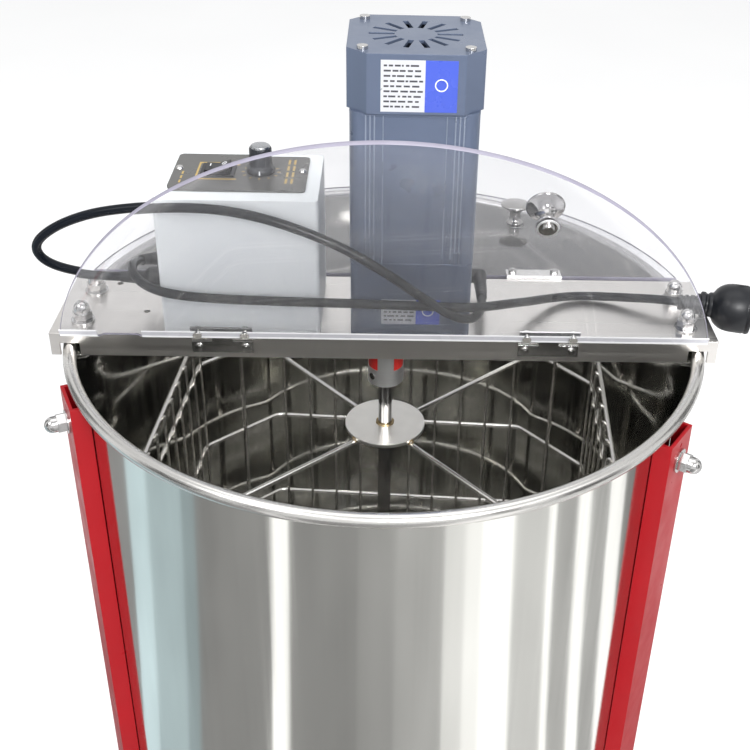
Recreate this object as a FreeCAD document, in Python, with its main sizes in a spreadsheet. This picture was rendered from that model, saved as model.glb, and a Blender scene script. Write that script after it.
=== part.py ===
"""Four-frame electric honey extractor: a steel drum on three legs, a wire basket that spins in it,
a gear motor and a control box on a bridge tray across the top, and two clear half-disc lids.

Millimetres. The origin is on the drum's axis at floor level, +Z up, the honey gate faces -Y.
"""
import FreeCAD, Part
import math
import os
import Sketcher
from FreeCAD import Placement, Rotation, Vector

DIMENSIONS = [
    # drum
    ("rim_height", 860), ("bead_ring_radius", 245), ("bead_radius", 5), ("bead_hollow", 4),
    ("wall_radius", 241), ("wall_sheet", 1.2), ("drum_depth", 600), ("skirt_depth", 640),
    ("floor_rise", 20), ("floor_sheet", 1.5), ("floor_flat", 30),
    # legs and their bolts
    ("leg_web_radius", 254), ("leg_width", 36), ("leg_sheet", 2.5), ("leg_gap", 6), ("leg_flange_start", 240.8),
    ("foot_length", 56), ("foot_width", 50), ("foot_sheet", 4), ("foot_hole_radius", 4.5), ("foot_pcd", 552),
    ("leg_bolt_drop", 26), ("leg_bolt_low", 622), ("leg_bolt_radius", 3.9), ("leg_spare_hole_drop", 13),
    ("leg_left_angle", 205), ("leg_right_angle", 325), ("leg_rear_angle", 85),
    ("nut_circumradius", 7.5), ("nut_thickness", 6.5), ("nut_dome_radius", 6), ("nut_dome_length", 3),
    ("washer_radius", 9), ("washer_thickness", 1.6), ("washer_hole", 4.2),
    # bridge tray and its hooks
    ("tray_half_length", 254), ("tray_half_width", 50), ("tray_rise", 14), ("tray_depth", 19), ("tray_sheet", 2),
    ("notch_inner", 232), ("notch_outer", 247), ("notch_rise", 5.3),
    ("hook_reach", 233), ("hook_front", -27), ("hook_back", 20), ("hook_radius", 3), ("hook_bend", 5),
    ("hook_drop", 19), ("hook_tip", 246),
    # gear motor
    ("motor_offset", 18), ("gearbox_width", 90), ("gearbox_height", 61), ("gearbox_wall", 5), ("gearbox_base", 6),
    ("motor_height", 115), ("motor_bore", 40), ("fan_cover_width", 95), ("fan_cover_height", 42),
    ("fan_cover_chamfer", 14), ("output_radius", 6), ("bearing_clearance", 0.05), ("gear_module", 0.75),
    ("gear_teeth", 40), ("pinion_teeth", 8),
    # control box
    ("box_left", -168), ("box_right", -50), ("box_half_depth", 44), ("box_height", 110), ("box_sheet", 1.5),
    ("plate_x", -110), ("plate_y", 3), ("plate_length", 100), ("plate_width", 65), ("plate_sheet", 1.5),
    ("rocker_x", -126.5), ("rocker_y", 4), ("knob_x", -95), ("knob_y", 5),
    ("lead_gland_y", -12.5), ("lead_gland_rise", 44.5), ("mains_gland_y", 17), ("mains_gland_rise", 45.5),
    # lids and hinges
    ("lid_radius", 250), ("lid_sheet", 4), ("lid_edge", 3.2), ("lid_tilt", 20), ("rear_droop", 1.5),
    ("hinge_y", 52.6), ("hinge_rise", 14.5), ("hinge_x", 123), ("leaf_length", 46), ("leaf_sheet", 1.2),
    ("leaf_reach", 12.5), ("knuckle_radius", 2.4), ("hinge_pin_radius", 1.2), ("leaf_screw_spread", 17.5),
    ("leaf_screw_up", 7.8), ("leaf_screw_down", 7.5), ("front_knob_up", 126), ("rear_knob_up", 113),
    ("front_knob_x", 107.5), ("rear_knob_x", 117),
    # basket
    ("basket_turn", -4), ("basket_half", 189), ("basket_flat", 126), ("ring_rod", 2.2), ("wire_rod", 1.4),
    ("wire_pitch", 26), ("basket_top", 99), ("basket_bottom", 546), ("hub_radius", 33.5), ("hub_sheet", 3),
    ("spoke_rod", 2.3), ("shaft_radius", 5.75), ("coupling_radius", 14.5), ("coupling_low", 55),
    ("coupling_mid_low", 40), ("coupling_mid_high", 26.5), ("coupling_high", 12), ("inner_jaw_radius", 10.5),
    # honey gate
    ("gate_drop", 572), ("gate_bore", 20), ("gate_wall", 4), ("gate_reach", 276), ("gate_flange_radius", 34),
    ("gate_flange", 5), ("gate_flap", 6), ("gate_pivot_offset", 40), ("gate_gap", 0.3),
    # cords
    ("cord_radius", 3.5),
]

doc = FreeCAD.newDocument("HoneyExtractor")
NODES = {}


def make_sheet():
    """The spreadsheet of driving dimensions: names in column A, numbers with their aliases in column B."""
    sheet = doc.addObject("Spreadsheet::Sheet", "Dims")
    for row, (alias, number) in enumerate(DIMENSIONS, start=1):
        sheet.set("A%d" % row, alias)
        sheet.set("B%d" % row, str(number))
        sheet.setAlias("B%d" % row, alias)
    doc.recompute()
    return doc.addObject("App::FeaturePython", "Reader")


reader = make_sheet()


def value(expression):
    """The number that an expression in the sheet's terms gives."""
    return float(reader.evalExpression(expression))


def dim(alias):
    return value("Dims." + alias)


def above(expression):
    """An expression for a height measured up from the middle of the rim bead."""
    return "Dims.rim_height + (%s)" % expression


def below(expression):
    return "Dims.rim_height - (%s)" % expression


# ---------------------------------------------------------------- placing and sketching


def place(obj, x="0", y="0", z="0", turn=None):
    """Puts an object at expressions x, y and z, turned by a Rotation."""
    obj.Placement = Placement(Vector(), turn or Rotation())
    for letter, expression in zip("xyz", (x, y, z)):
        if expression != "0":
            obj.setExpression("Placement.Base." + letter, expression)
    return obj


def node(name, obj):
    """Registers an object as a sub-part, under the name of its file."""
    obj.Label = name
    NODES[name] = obj
    return obj


def new_body(name):
    return doc.addObject("PartDesign::Body", name)


def new_sketch(body, role="XY_Plane", level="0"):
    """A sketch on one of the body's own origin planes, moved along its normal by an expression."""
    sketch = body.newObject("Sketcher::SketchObject", body.Name + "_sketch")
    plane = next(f for f in body.Origin.OriginFeatures if f.Role == role)
    sketch.AttachmentSupport = [(plane, "")]
    sketch.MapMode = "FlatFace"
    if level != "0":
        sketch.setExpression("AttachmentOffset.Base.z", level)
    return sketch


def pin_point(sketch, edge, end, x, y):
    """Holds one end of an edge at expressions x and y from the sketch's origin."""
    for kind, expression in (("DistanceX", x), ("DistanceY", y)):
        number = sketch.addConstraint(Sketcher.Constraint(kind, -1, 1, edge, end, value(expression)))
        sketch.setExpression("Constraints[%d]" % number, expression)


def draw_polygon(sketch, points):
    """A closed outline through points given as pairs of expressions."""
    spots = [Vector(value(x), value(y), 0) for x, y in points]
    first = sketch.GeometryCount
    count = len(spots)
    for i in range(count):
        sketch.addGeometry(Part.LineSegment(spots[i], spots[(i + 1) % count]), False)
    for i in range(count):
        sketch.addConstraint(Sketcher.Constraint("Coincident", first + i, 2, first + (i + 1) % count, 1))
    for i, (x, y) in enumerate(points):
        pin_point(sketch, first + i, 1, x, y)


def draw_box(sketch, x, y, half_x, half_y):
    """A rectangle centred at x, y."""
    signs = ((-1, -1), (1, -1), (1, 1), (-1, 1))
    draw_polygon(sketch, [("%s + (%d) * (%s)" % (x, sx, half_x), "%s + (%d) * (%s)" % (y, sy, half_y))
                          for sx, sy in signs])


def draw_circle(sketch, x, y, radius):
    edge = sketch.addGeometry(Part.Circle(Vector(value(x), value(y), 0), Vector(0, 0, 1), value(radius)), False)
    number = sketch.addConstraint(Sketcher.Constraint("Radius", edge, value(radius)))
    sketch.setExpression("Constraints[%d]" % number, radius)
    pin_point(sketch, edge, 3, x, y)


def pad(body, sketch, length, backwards=False):
    feature = body.newObject("PartDesign::Pad", body.Name + "_pad")
    feature.Profile = sketch
    feature.setExpression("Length", length)
    feature.Reversed = backwards
    body.Tip = feature
    doc.recompute()
    return feature


def pocket(body, sketch, depth, upwards=False):
    """Cuts depth into the body from the sketch and checks that something was cut."""
    before = body.Shape.Volume
    feature = body.newObject("PartDesign::Pocket", body.Name + "_pocket")
    feature.Profile = sketch
    feature.setExpression("Length", depth)
    feature.Reversed = upwards
    body.Tip = feature
    doc.recompute()
    if not body.Shape.Volume < before - 1e-3:
        raise RuntimeError("the pocket in %s cut nothing" % body.Name)
    return feature


def turn_about_z(body, sketch, kind="Revolution"):
    """A Revolution, or a Groove, of a sketch on the XZ plane about the body's vertical axis."""
    before = body.Shape.Volume if kind == "Groove" else None
    feature = body.newObject("PartDesign::" + kind, body.Name + "_" + kind.lower())
    feature.Profile = sketch
    feature.ReferenceAxis = (sketch, ["V_Axis"])
    feature.Angle = 360
    body.Tip = feature
    doc.recompute()
    if before is not None and not body.Shape.Volume < before - 1e-3:
        raise RuntimeError("the groove in %s cut nothing" % body.Name)
    return feature


def turned(name, points, **where):
    """A body of revolution about its own Z axis, from (radius, height) pairs."""
    body = new_body(name)
    sketch = new_sketch(body, "XZ_Plane")
    draw_polygon(sketch, points)
    turn_about_z(body, sketch)
    return place(body, **where)


def block(name, half_x, half_y, height, fillet=None, **where):
    """An upright block centred on its own Z axis, with rounded vertical edges where a fillet is given."""
    body = new_body(name)
    sketch = new_sketch(body)
    draw_box(sketch, "0", "0", half_x, half_y)
    feature = pad(body, sketch, height)
    if fillet:
        round_uprights(body, feature, fillet)
    return place(body, **where)


def round_uprights(body, feature, radius):
    """Fillets the vertical edges of a feature."""
    names = []
    for i, edge in enumerate(feature.Shape.Edges, start=1):
        a, b = edge.Vertexes[0].Point, edge.Vertexes[-1].Point
        if abs(a.z - b.z) > 1 and math.hypot(a.x - b.x, a.y - b.y) < 1e-6:
            names.append("Edge%d" % i)
    fillet = body.newObject("PartDesign::Fillet", body.Name + "_fillet")
    fillet.Base = (feature, names)
    fillet.setExpression("Radius", radius)
    body.Tip = fillet
    doc.recompute()
    return fillet


# ---------------------------------------------------------------- primitives and booleans

UP = Rotation()
TO_PLUS_X = Rotation(Vector(0, 1, 0), 90)
TO_MINUS_X = Rotation(Vector(0, 1, 0), -90)
TO_PLUS_Y = Rotation(Vector(1, 0, 0), -90)
TO_MINUS_Y = Rotation(Vector(1, 0, 0), 90)


def outward(azimuth):
    """The rotation that lays an upright piece along the drum's radius at an azimuth in degrees."""
    return Rotation(Vector(0, 0, 1), azimuth) * TO_PLUS_X


def primitive(kind, name, x="0", y="0", z="0", turn=None, **sizes):
    """A Part primitive whose sizes and position are expressions."""
    obj = doc.addObject("Part::" + kind, name)
    for key, expression in sizes.items():
        obj.setExpression(key, expression)
    return place(obj, x, y, z, turn)


def rod(name, radius, length, x="0", y="0", z="0", turn=None):
    return primitive("Cylinder", name, x, y, z, turn, Radius=radius, Height=length)


def on_radius(azimuth, reach):
    """Expressions for x and y at a distance from the axis, at an azimuth that is an expression too."""
    return "(%s) * cos((%s) * 1deg)" % (reach, azimuth), "(%s) * sin((%s) * 1deg)" % (reach, azimuth)


def radial_rod(name, radius, length, azimuth, start, z):
    x, y = on_radius(azimuth, start)
    return rod(name, radius, length, x, y, z, outward(value(azimuth)))


def fuse(name, members):
    obj = doc.addObject("Part::MultiFuse", name)
    obj.Shapes = members
    return obj


def cut(name, base, tools):
    obj = doc.addObject("Part::Cut", name)
    obj.Base = base
    obj.Tool = tools[0] if len(tools) == 1 else fuse(name + "_tools", tools)
    return obj


def group(name, members):
    """Several separate solids of one kind in one sub-part."""
    obj = doc.addObject("Part::Compound", name)
    obj.Links = members
    return node(name, obj)


def tube(name, outer, inner, length, x="0", y="0", z="0", turn=None):
    """A ring or tube from a cylinder with a bore through it."""
    return cut(name, rod(name + "_outside", outer, length, x, y, z, turn),
               [rod(name + "_bore", inner, length, x, y, z, turn)])


# ---------------------------------------------------------------- drum

LEG_ANGLES = {"left": "Dims.leg_left_angle", "right": "Dims.leg_right_angle", "rear": "Dims.leg_rear_angle"}
LEG_BOLT_DROPS = ("Dims.leg_bolt_drop", "Dims.leg_bolt_low")
HOOK_SPOTS = [(side, y) for side in (-1, 1) for y in ("Dims.hook_front", "Dims.hook_back")]


def leg_bolt_places():
    """Name, azimuth and height of each of the six bolts that hold the legs."""
    for leg, azimuth in LEG_ANGLES.items():
        for i, drop in enumerate(LEG_BOLT_DROPS):
            yield "%s_%d" % (leg, i), azimuth, below(drop)


def make_drum():
    body = new_body("drum_wall")
    wall = new_sketch(body, "XZ_Plane")
    inner = "Dims.wall_radius - Dims.wall_sheet"
    draw_polygon(wall, [(inner, below("Dims.skirt_depth")), ("Dims.wall_radius", below("Dims.skirt_depth")),
                        ("Dims.wall_radius", below("1")), (inner, below("1"))])
    turn_about_z(body, wall)
    for kind, radius in (("Revolution", "Dims.bead_radius"), ("Groove", "Dims.bead_hollow")):
        bead = new_sketch(body, "XZ_Plane")
        draw_circle(bead, "Dims.bead_ring_radius", "Dims.rim_height", radius)
        turn_about_z(body, bead, kind)
    holes = [radial_rod("wall_hole_" + name, "Dims.leg_bolt_radius", "20", azimuth, "Dims.wall_radius - 10", z)
             for name, azimuth, z in leg_bolt_places()]
    for i, (side, y) in enumerate(HOOK_SPOTS):
        holes.append(rod("hook_hole_%d" % i, "Dims.hook_radius + 0.3", "20", "%d * (Dims.wall_radius - 12)" % side,
                         y, below("Dims.hook_drop"), TO_PLUS_X if side > 0 else TO_MINUS_X))
    holes.append(rod("gate_hole", "Dims.gate_bore + Dims.gate_wall", "20", "0", "10 - Dims.wall_radius",
                     below("Dims.gate_drop"), TO_MINUS_Y))
    node("drum_shell", cut("drum_shell", body, holes))

    edge, centre = "Dims.drum_depth", "Dims.drum_depth - Dims.floor_rise"
    node("drum_floor", turned("drum_floor", [
        ("0", below(centre)), ("Dims.floor_flat", below(centre)), (inner, below(edge)),
        (inner, below(edge + " - Dims.floor_sheet")),
        ("Dims.floor_flat", below(centre + " - Dims.floor_sheet")), ("0", below(centre + " - Dims.floor_sheet"))]))


def make_bottom_bearing():
    """A cup welded to the middle of the floor, with a ball that carries the basket's shaft."""
    seat = below("Dims.drum_depth - Dims.floor_rise - Dims.floor_sheet")
    bore = "Dims.shaft_radius + Dims.bearing_clearance"
    node("bearing_cup", turned("bearing_cup", [
        ("0", "0"), ("22", "0"), ("22", "2"), ("10", "4"), ("10", "22"), (bore, "22"), (bore, "2"), ("0", "2")], z=seat))
    node("bearing_ball", primitive("Sphere", "bearing_ball", z=seat + " + 7.5", Radius="5.5"))


def make_leg(name, azimuth):
    """A channel with its web outwards, and a foot plate welded across its lower end."""
    body = new_body(name + "_channel")
    half, web = "Dims.leg_width / 2", "Dims.leg_web_radius"
    profile = new_sketch(body)
    inner = "(Dims.leg_width / 2 - Dims.leg_sheet)"
    start = "Dims.leg_flange_start"
    draw_polygon(profile, [
        (start, "-" + half), (web, "-" + half), (web, half), (start, half), (start, inner),
        (web + " - Dims.leg_sheet", inner), (web + " - Dims.leg_sheet", "-" + inner), (start, "-" + inner)])
    pad(body, profile, below("Dims.leg_gap"))
    foot = new_sketch(body)
    middle = "Dims.foot_pcd / 2 - 12"
    draw_box(foot, middle, "0", "Dims.foot_length / 2", "Dims.foot_width / 2")
    pad(body, foot, "Dims.foot_sheet")
    hole = new_sketch(body)
    draw_circle(hole, "Dims.foot_pcd / 2", "0", "Dims.foot_hole_radius")
    pocket(body, hole, "Dims.foot_sheet", upwards=True)
    place(body, turn=Rotation(Vector(0, 0, 1), value(azimuth)))
    holes = [radial_rod("%s_hole_%d" % (name, i), "Dims.leg_bolt_radius", "10", azimuth,
                        "Dims.leg_web_radius - 6", below(drop))
             for i, drop in enumerate(LEG_BOLT_DROPS)]
    holes.append(radial_rod(name + "_spare_hole", "1.6", "10", azimuth, "Dims.leg_web_radius - 6",
                            below("Dims.leg_spare_hole_drop")))
    node(name, cut(name, body, holes))


def make_cap_nut(name, x, y, z, turn):
    """A hexagon nut with a domed cap and a blind bore. Its seat is at x, y, z."""
    body = fuse(name + "_solid", [
        primitive("Prism", name + "_hexagon", Polygon="6", Circumradius="Dims.nut_circumradius",
                  Height="Dims.nut_thickness"),
        rod(name + "_neck", "Dims.nut_dome_radius", "Dims.nut_dome_length", z="Dims.nut_thickness"),
        primitive("Sphere", name + "_dome", z="Dims.nut_thickness + Dims.nut_dome_length",
                  Radius="Dims.nut_dome_radius")])
    return place(cut(name, body, [rod(name + "_bore", "Dims.leg_bolt_radius", "Dims.nut_thickness + 1")]),
                 x, y, z, turn)


def make_washer(name, x, y, z, turn):
    return place(tube(name, "Dims.washer_radius", "Dims.washer_hole", "Dims.washer_thickness"), x, y, z, turn)


def make_fasteners():
    """The bolts of the legs, the hook bolts of the tray, and the cap nuts and washers on both."""
    bolts, hooks, nuts, washers = [], [], [], []
    for name, azimuth, z in leg_bolt_places():
        turn = outward(value(azimuth))
        head = on_radius(azimuth, "Dims.wall_radius - Dims.wall_sheet - 2.8")
        bolts.append(place(fuse("leg_bolt_" + name, [
            rod("leg_bolt_head_" + name, "7", "2.5"),
            rod("leg_bolt_shank_" + name, "Dims.leg_bolt_radius", "Dims.leg_web_radius - Dims.wall_radius + 12")]),
            *head, z, turn))
        seat = on_radius(azimuth, "Dims.leg_web_radius")
        washers.append(make_washer("leg_washer_" + name, *seat, z, turn))
        seat = on_radius(azimuth, "Dims.leg_web_radius + Dims.washer_thickness")
        nuts.append(make_cap_nut("leg_nut_" + name, *seat, z, turn))
    for i, (side, y) in enumerate(HOOK_SPOTS):
        x = "%d * Dims.hook_reach" % side
        hooks.append(place(make_hook("hook_%d" % i), x, y, "Dims.rim_height",
                           UP if side > 0 else Rotation(Vector(0, 0, 1), 180)))
        washers.append(make_washer("hook_washer_%d" % i, x, y, above("Dims.tray_rise"), UP))
        nuts.append(make_cap_nut("hook_nut_%d" % i, x, y, above("Dims.tray_rise + Dims.washer_thickness"), UP))
    group("leg_bolts", bolts)
    group("hook_bolts", hooks)
    group("cap_nuts", nuts)
    group("washers", washers)


def make_hook(name):
    """An L-shaped bolt: its foot passes out through the drum's wall, below the bead."""
    bend, drop = "Dims.hook_bend", "Dims.hook_drop"
    upright = rod(name + "_upright", "Dims.hook_radius", "Dims.tray_rise + Dims.washer_thickness + 6 + %s - %s"
                  % (drop, bend), z="%s - %s" % (bend, drop))
    elbow = primitive("Torus", name + "_elbow", bend, "0", "%s - %s" % (bend, drop),
                      Rotation(Vector(1, 0, 0), 90), Radius1=bend, Radius2="Dims.hook_radius")
    quarter = primitive("Box", name + "_quarter", "-Dims.hook_radius", "-Dims.hook_radius - 1",
                        "-%s - Dims.hook_radius" % drop, Length="%s + Dims.hook_radius" % bend,
                        Width="2 * Dims.hook_radius + 2", Height="%s + Dims.hook_radius" % bend)
    corner = doc.addObject("Part::Common", name + "_corner")
    corner.Base = elbow
    corner.Tool = quarter
    foot = rod(name + "_foot", "Dims.hook_radius", "Dims.hook_tip - Dims.hook_reach - " + bend, bend, "0",
               "-" + drop, TO_PLUS_X)
    return fuse(name, [upright, corner, foot])


# ---------------------------------------------------------------- bridge tray


def make_tray():
    """A folded tray across the drum: its long flanges are notched to sit on the bead."""
    body = new_body("tray_fold")
    outline = new_sketch(body, level=above("Dims.tray_rise - Dims.tray_depth"))
    draw_box(outline, "0", "0", "Dims.tray_half_length", "Dims.tray_half_width")
    pad(body, outline, "Dims.tray_depth")
    hollow = new_sketch(body, level=above("Dims.tray_rise - Dims.tray_depth"))
    draw_box(hollow, "0", "0", "Dims.tray_half_length - Dims.tray_sheet", "Dims.tray_half_width - Dims.tray_sheet")
    pocket(body, hollow, "Dims.tray_depth - Dims.tray_sheet", upwards=True)
    notches = new_sketch(body, level=above("Dims.tray_rise - Dims.tray_depth"))
    middle = "(Dims.notch_inner + Dims.notch_outer) / 2"
    for side in (-1, 1):
        draw_box(notches, "%d * %s" % (side, middle), "0", "(Dims.notch_outer - Dims.notch_inner) / 2",
                 "Dims.tray_half_width + 1")
    pocket(body, notches, "Dims.notch_rise - Dims.tray_rise + Dims.tray_depth", upwards=True)
    holes = new_sketch(body, level=above("Dims.tray_rise"))
    for side, y in HOOK_SPOTS:
        draw_circle(holes, "%d * Dims.hook_reach" % side, y, "Dims.hook_radius + 0.5")
    draw_circle(holes, "0", "0", "Dims.output_radius + 4")
    for x, y in gearbox_screw_spots():
        draw_circle(holes, x, y, "2.7")
    draw_circle(holes, "-217", "33", "2.5")
    draw_circle(holes, "-187", "-12", "2.5")
    pocket(body, holes, "Dims.tray_sheet")
    screw_holes = new_sketch(body, "XZ_Plane", level="Dims.tray_half_width + 1")
    for side in (-1, 1):
        for step in (-1, 1):
            draw_circle(screw_holes, "%d * Dims.hinge_x + (%d) * Dims.leaf_screw_spread" % (side, step),
                        above("Dims.hinge_rise - Dims.leaf_screw_down"), "1.5")
    pocket(body, screw_holes, "2 * Dims.tray_half_width + 2")
    node("bridge_tray", body)


def gearbox_screw_spots():
    spread = "(Dims.gearbox_width / 2 - 10)"
    return [("Dims.motor_offset + (%d) * %s" % (sx, spread), "(%d) * %s" % (sy, spread))
            for sx in (-1, 1) for sy in (-1, 1)]


# ---------------------------------------------------------------- gear motor


def make_gearbox():
    bottom = above("Dims.tray_rise")
    half = "Dims.gearbox_width / 2"
    body = block("gearbox_case", half, half, "Dims.gearbox_height", "6", x="Dims.motor_offset", z=bottom)
    hollow = new_sketch(body, level="Dims.gearbox_base")
    draw_box(hollow, "0", "0", half + " - Dims.gearbox_wall", half + " - Dims.gearbox_wall")
    pocket(body, hollow, "Dims.gearbox_height - Dims.gearbox_base", upwards=True)
    holes = new_sketch(body)
    draw_circle(holes, "-Dims.motor_offset", "0", "Dims.output_radius + 4")
    for sx in (-1, 1):
        for sy in (-1, 1):
            draw_circle(holes, "%d * (%s - 10)" % (sx, half), "%d * (%s - 10)" % (sy, half), "2.4")
    pocket(body, holes, "Dims.gearbox_base", upwards=True)
    node("gearbox_case", body)
    node("output_bushing", tube("output_bushing", "Dims.output_radius + 4",
                                "Dims.output_radius + Dims.bearing_clearance", "Dims.gearbox_base", z=bottom))
    screws = []
    for i, (x, y) in enumerate(gearbox_screw_spots()):
        screws.append(place(fuse("gearbox_screw_%d" % i, [
            rod("gearbox_screw_head_%d" % i, "4.5", "3", z="-3"),
            rod("gearbox_screw_shank_%d" % i, "2.4", "Dims.tray_sheet + 5")]),
            x, y, above("Dims.tray_rise - Dims.tray_sheet")))
    group("gearbox_screws", screws)


def make_motor():
    """The motor's housing with its stator, and the vented cover over its fan."""
    bottom = above("Dims.tray_rise + Dims.gearbox_height")
    half = "Dims.gearbox_width / 2"
    body = block("motor_housing", half, half, "Dims.motor_height", "9", x="Dims.motor_offset", z=bottom)
    bore = new_sketch(body, level="6")
    draw_circle(bore, "0", "0", "Dims.motor_bore")
    pocket(body, bore, "Dims.motor_height - 6", upwards=True)
    bearing = new_sketch(body)
    draw_circle(bearing, "0", "0", "5 + Dims.bearing_clearance")
    pocket(body, bearing, "6", upwards=True)
    screw_holes = new_sketch(body, level="Dims.motor_height")
    for x, y in cover_screw_spots():
        draw_circle(screw_holes, x, y, "2.1")
    pocket(body, screw_holes, "12")
    node("motor_housing", body)

    node("stator", turned("stator", [
        ("28.5", "8"), ("37", "8"), ("37", "14"), ("Dims.motor_bore", "14"), ("Dims.motor_bore", "90"),
        ("37", "90"), ("37", "96"), ("28.5", "96")], x="Dims.motor_offset", z=bottom))
    make_fan_cover(above("Dims.tray_rise + Dims.gearbox_height + Dims.motor_height"))


def cover_screw_spots():
    return [("%d * 36.5" % sx, "%d * 36.5" % sy) for sx in (-1, 1) for sy in (-1, 1)]


def octagon(half, chamfer):
    """The outline of a square with its corners cut off."""
    near = "(%s - %s)" % (half, chamfer)
    return [(near, "-" + half), (half, "-" + near), (half, near), (near, half),
            ("-" + near, half), ("-" + half, near), ("-" + half, "-" + near), ("-" + near, "-" + half)]


def make_fan_cover(bottom):
    body = new_body("fan_cover")
    outline = new_sketch(body)
    draw_polygon(outline, octagon("Dims.fan_cover_width / 2", "Dims.fan_cover_chamfer"))
    pad(body, outline, "Dims.fan_cover_height")
    hollow = new_sketch(body)
    draw_polygon(hollow, octagon("(Dims.fan_cover_width / 2 - 2.5)", "(Dims.fan_cover_chamfer - 1)"))
    pocket(body, hollow, "Dims.fan_cover_height - 2.5", upwards=True)
    vent = new_sketch(body, level="Dims.fan_cover_height")
    draw_box(vent, "24", "0", "9", "2")
    first = pocket(body, vent, "2.5")
    pattern = body.newObject("PartDesign::PolarPattern", "fan_vents")
    pattern.Originals = [first]
    pattern.Axis = (vent, ["N_Axis"])
    pattern.Angle = 360
    pattern.Occurrences = 14
    body.Tip = pattern
    screw_holes = new_sketch(body, level="Dims.fan_cover_height")
    for x, y in cover_screw_spots():
        draw_circle(screw_holes, x, y, "2.3")
    doc.recompute()
    pocket(body, screw_holes, "2.5")
    node("fan_cover", place(body, x="Dims.motor_offset", z=bottom))
    screws = []
    for i, (x, y) in enumerate(cover_screw_spots()):
        screws.append(place(fuse("cover_screw_%d" % i, [
            rod("cover_screw_head_%d" % i, "3.8", "2.4"),
            rod("cover_screw_shank_%d" % i, "2", "Dims.fan_cover_height + 8", z="-8 - Dims.fan_cover_height")]),
            "Dims.motor_offset + " + x, y, bottom + " + Dims.fan_cover_height"))
    group("fan_cover_screws", screws)


def gear_shape(teeth, thickness, bore):
    """A spur gear with straight-sided teeth, one tooth centred on +X."""
    module = dim("gear_module")
    pitch = teeth * module / 2
    root, tip = pitch - 1.2 * module, pitch + 0.9 * module
    step = 2 * math.pi / teeth
    outline = []
    for i in range(teeth):
        for radius, share in ((root, -0.36), (pitch, -0.22), (tip, -0.11), (tip, 0.11), (pitch, 0.22), (root, 0.36)):
            angle = (i + share) * step
            outline.append(Vector(radius * math.cos(angle), radius * math.sin(angle), 0))
    face = Part.Face(Part.makePolygon(outline + outline[:1]))
    solid = face.extrude(Vector(0, 0, thickness))
    return solid.cut(Part.makeCylinder(bore, thickness)) if bore else solid


def make_gear_train():
    """The output shaft's gear and the rotor with its pinion: 40 and 8 teeth, 18 mm apart."""
    base = dim("rim_height") + dim("tray_rise")
    wheel = gear_shape(int(dim("gear_teeth")), 10, 0)
    wheel.translate(Vector(0, 0, base + 14))
    shaft = Part.makeCylinder(dim("output_radius"), 62, Vector(0, 0, base - 38))
    output = doc.addObject("Part::Feature", "output_gear")
    output.Shape = shaft.fuse(wheel).removeSplitter()
    node("output_gear", output)

    pinion = gear_shape(int(dim("pinion_teeth")), 16, 0)
    half_tooth = 180 / dim("pinion_teeth")
    pinion.rotate(Vector(), Vector(0, 0, 1), half_tooth)
    pinion.translate(Vector(0, 0, base + 11))
    neck = Part.makeCylinder(2, 3, Vector(0, 0, base + 27))
    shaft = Part.makeCylinder(5, 166, Vector(0, 0, base + 30))
    core = Part.makeCylinder(28, 76, Vector(0, 0, base + 75))
    rotor = doc.addObject("Part::Feature", "motor_rotor")
    rotor.Shape = shaft.fuse([pinion, neck, core]).removeSplitter()
    rotor.Placement = Placement(Vector(dim("motor_offset"), 0, 0), Rotation())
    node("motor_rotor", rotor)

    bottom = above("Dims.tray_rise + Dims.gearbox_height + Dims.motor_height + 4")
    blades = [place(primitive("Box", "fan_blade_%d" % i, Length="24", Width="1.4", Height="13"),
                    "Dims.motor_offset + 8 * cos(%d deg)" % (60 * i), "8 * sin(%d deg)" % (60 * i), bottom,
                    Rotation(Vector(0, 0, 1), 60 * i)) for i in range(6)]
    disc = rod("fan_disc", "34", "2", "Dims.motor_offset", "0", bottom)
    hub = rod("fan_hub", "10", "14", "Dims.motor_offset", "0", bottom)
    node("cooling_fan", cut("cooling_fan", fuse("fan_solid", blades + [disc, hub]),
                            [rod("fan_bore", "5", "20", "Dims.motor_offset", "0", bottom)]))


# ---------------------------------------------------------------- control box


def make_control_box():
    middle = "(Dims.box_left + Dims.box_right) / 2"
    half = "(Dims.box_right - Dims.box_left) / 2"
    deep = "Dims.box_half_depth"
    body = block("control_box", half, deep, "Dims.box_height", "3", x=middle, z=above("Dims.tray_rise"))
    hollow = new_sketch(body)
    draw_box(hollow, "0", "0", half + " - Dims.box_sheet", deep + " - Dims.box_sheet")
    pocket(body, hollow, "Dims.box_height - Dims.box_sheet", upwards=True)
    top = new_sketch(body, level="Dims.box_height")
    draw_box(top, "Dims.rocker_x - " + middle, "Dims.rocker_y", "11", "9")
    draw_circle(top, "Dims.knob_x - " + middle, "Dims.knob_y", "4.6")
    for x, y in plate_screw_spots():
        draw_circle(top, "%s - %s" % (x, middle), y, "1.6")
    pocket(body, top, "Dims.box_sheet")
    glands = new_sketch(body, "YZ_Plane", level="-(%s)" % half)
    draw_circle(glands, "Dims.lead_gland_y", "Dims.lead_gland_rise - Dims.tray_rise", "6.2")
    draw_circle(glands, "Dims.mains_gland_y", "Dims.mains_gland_rise - Dims.tray_rise", "6.2")
    pocket(body, glands, "Dims.box_sheet", upwards=True)
    node("control_box", body)


def plate_screw_spots():
    return [("Dims.plate_x - 46", "Dims.plate_y + 4"), ("Dims.plate_x + 46", "Dims.plate_y + 4")]


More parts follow.
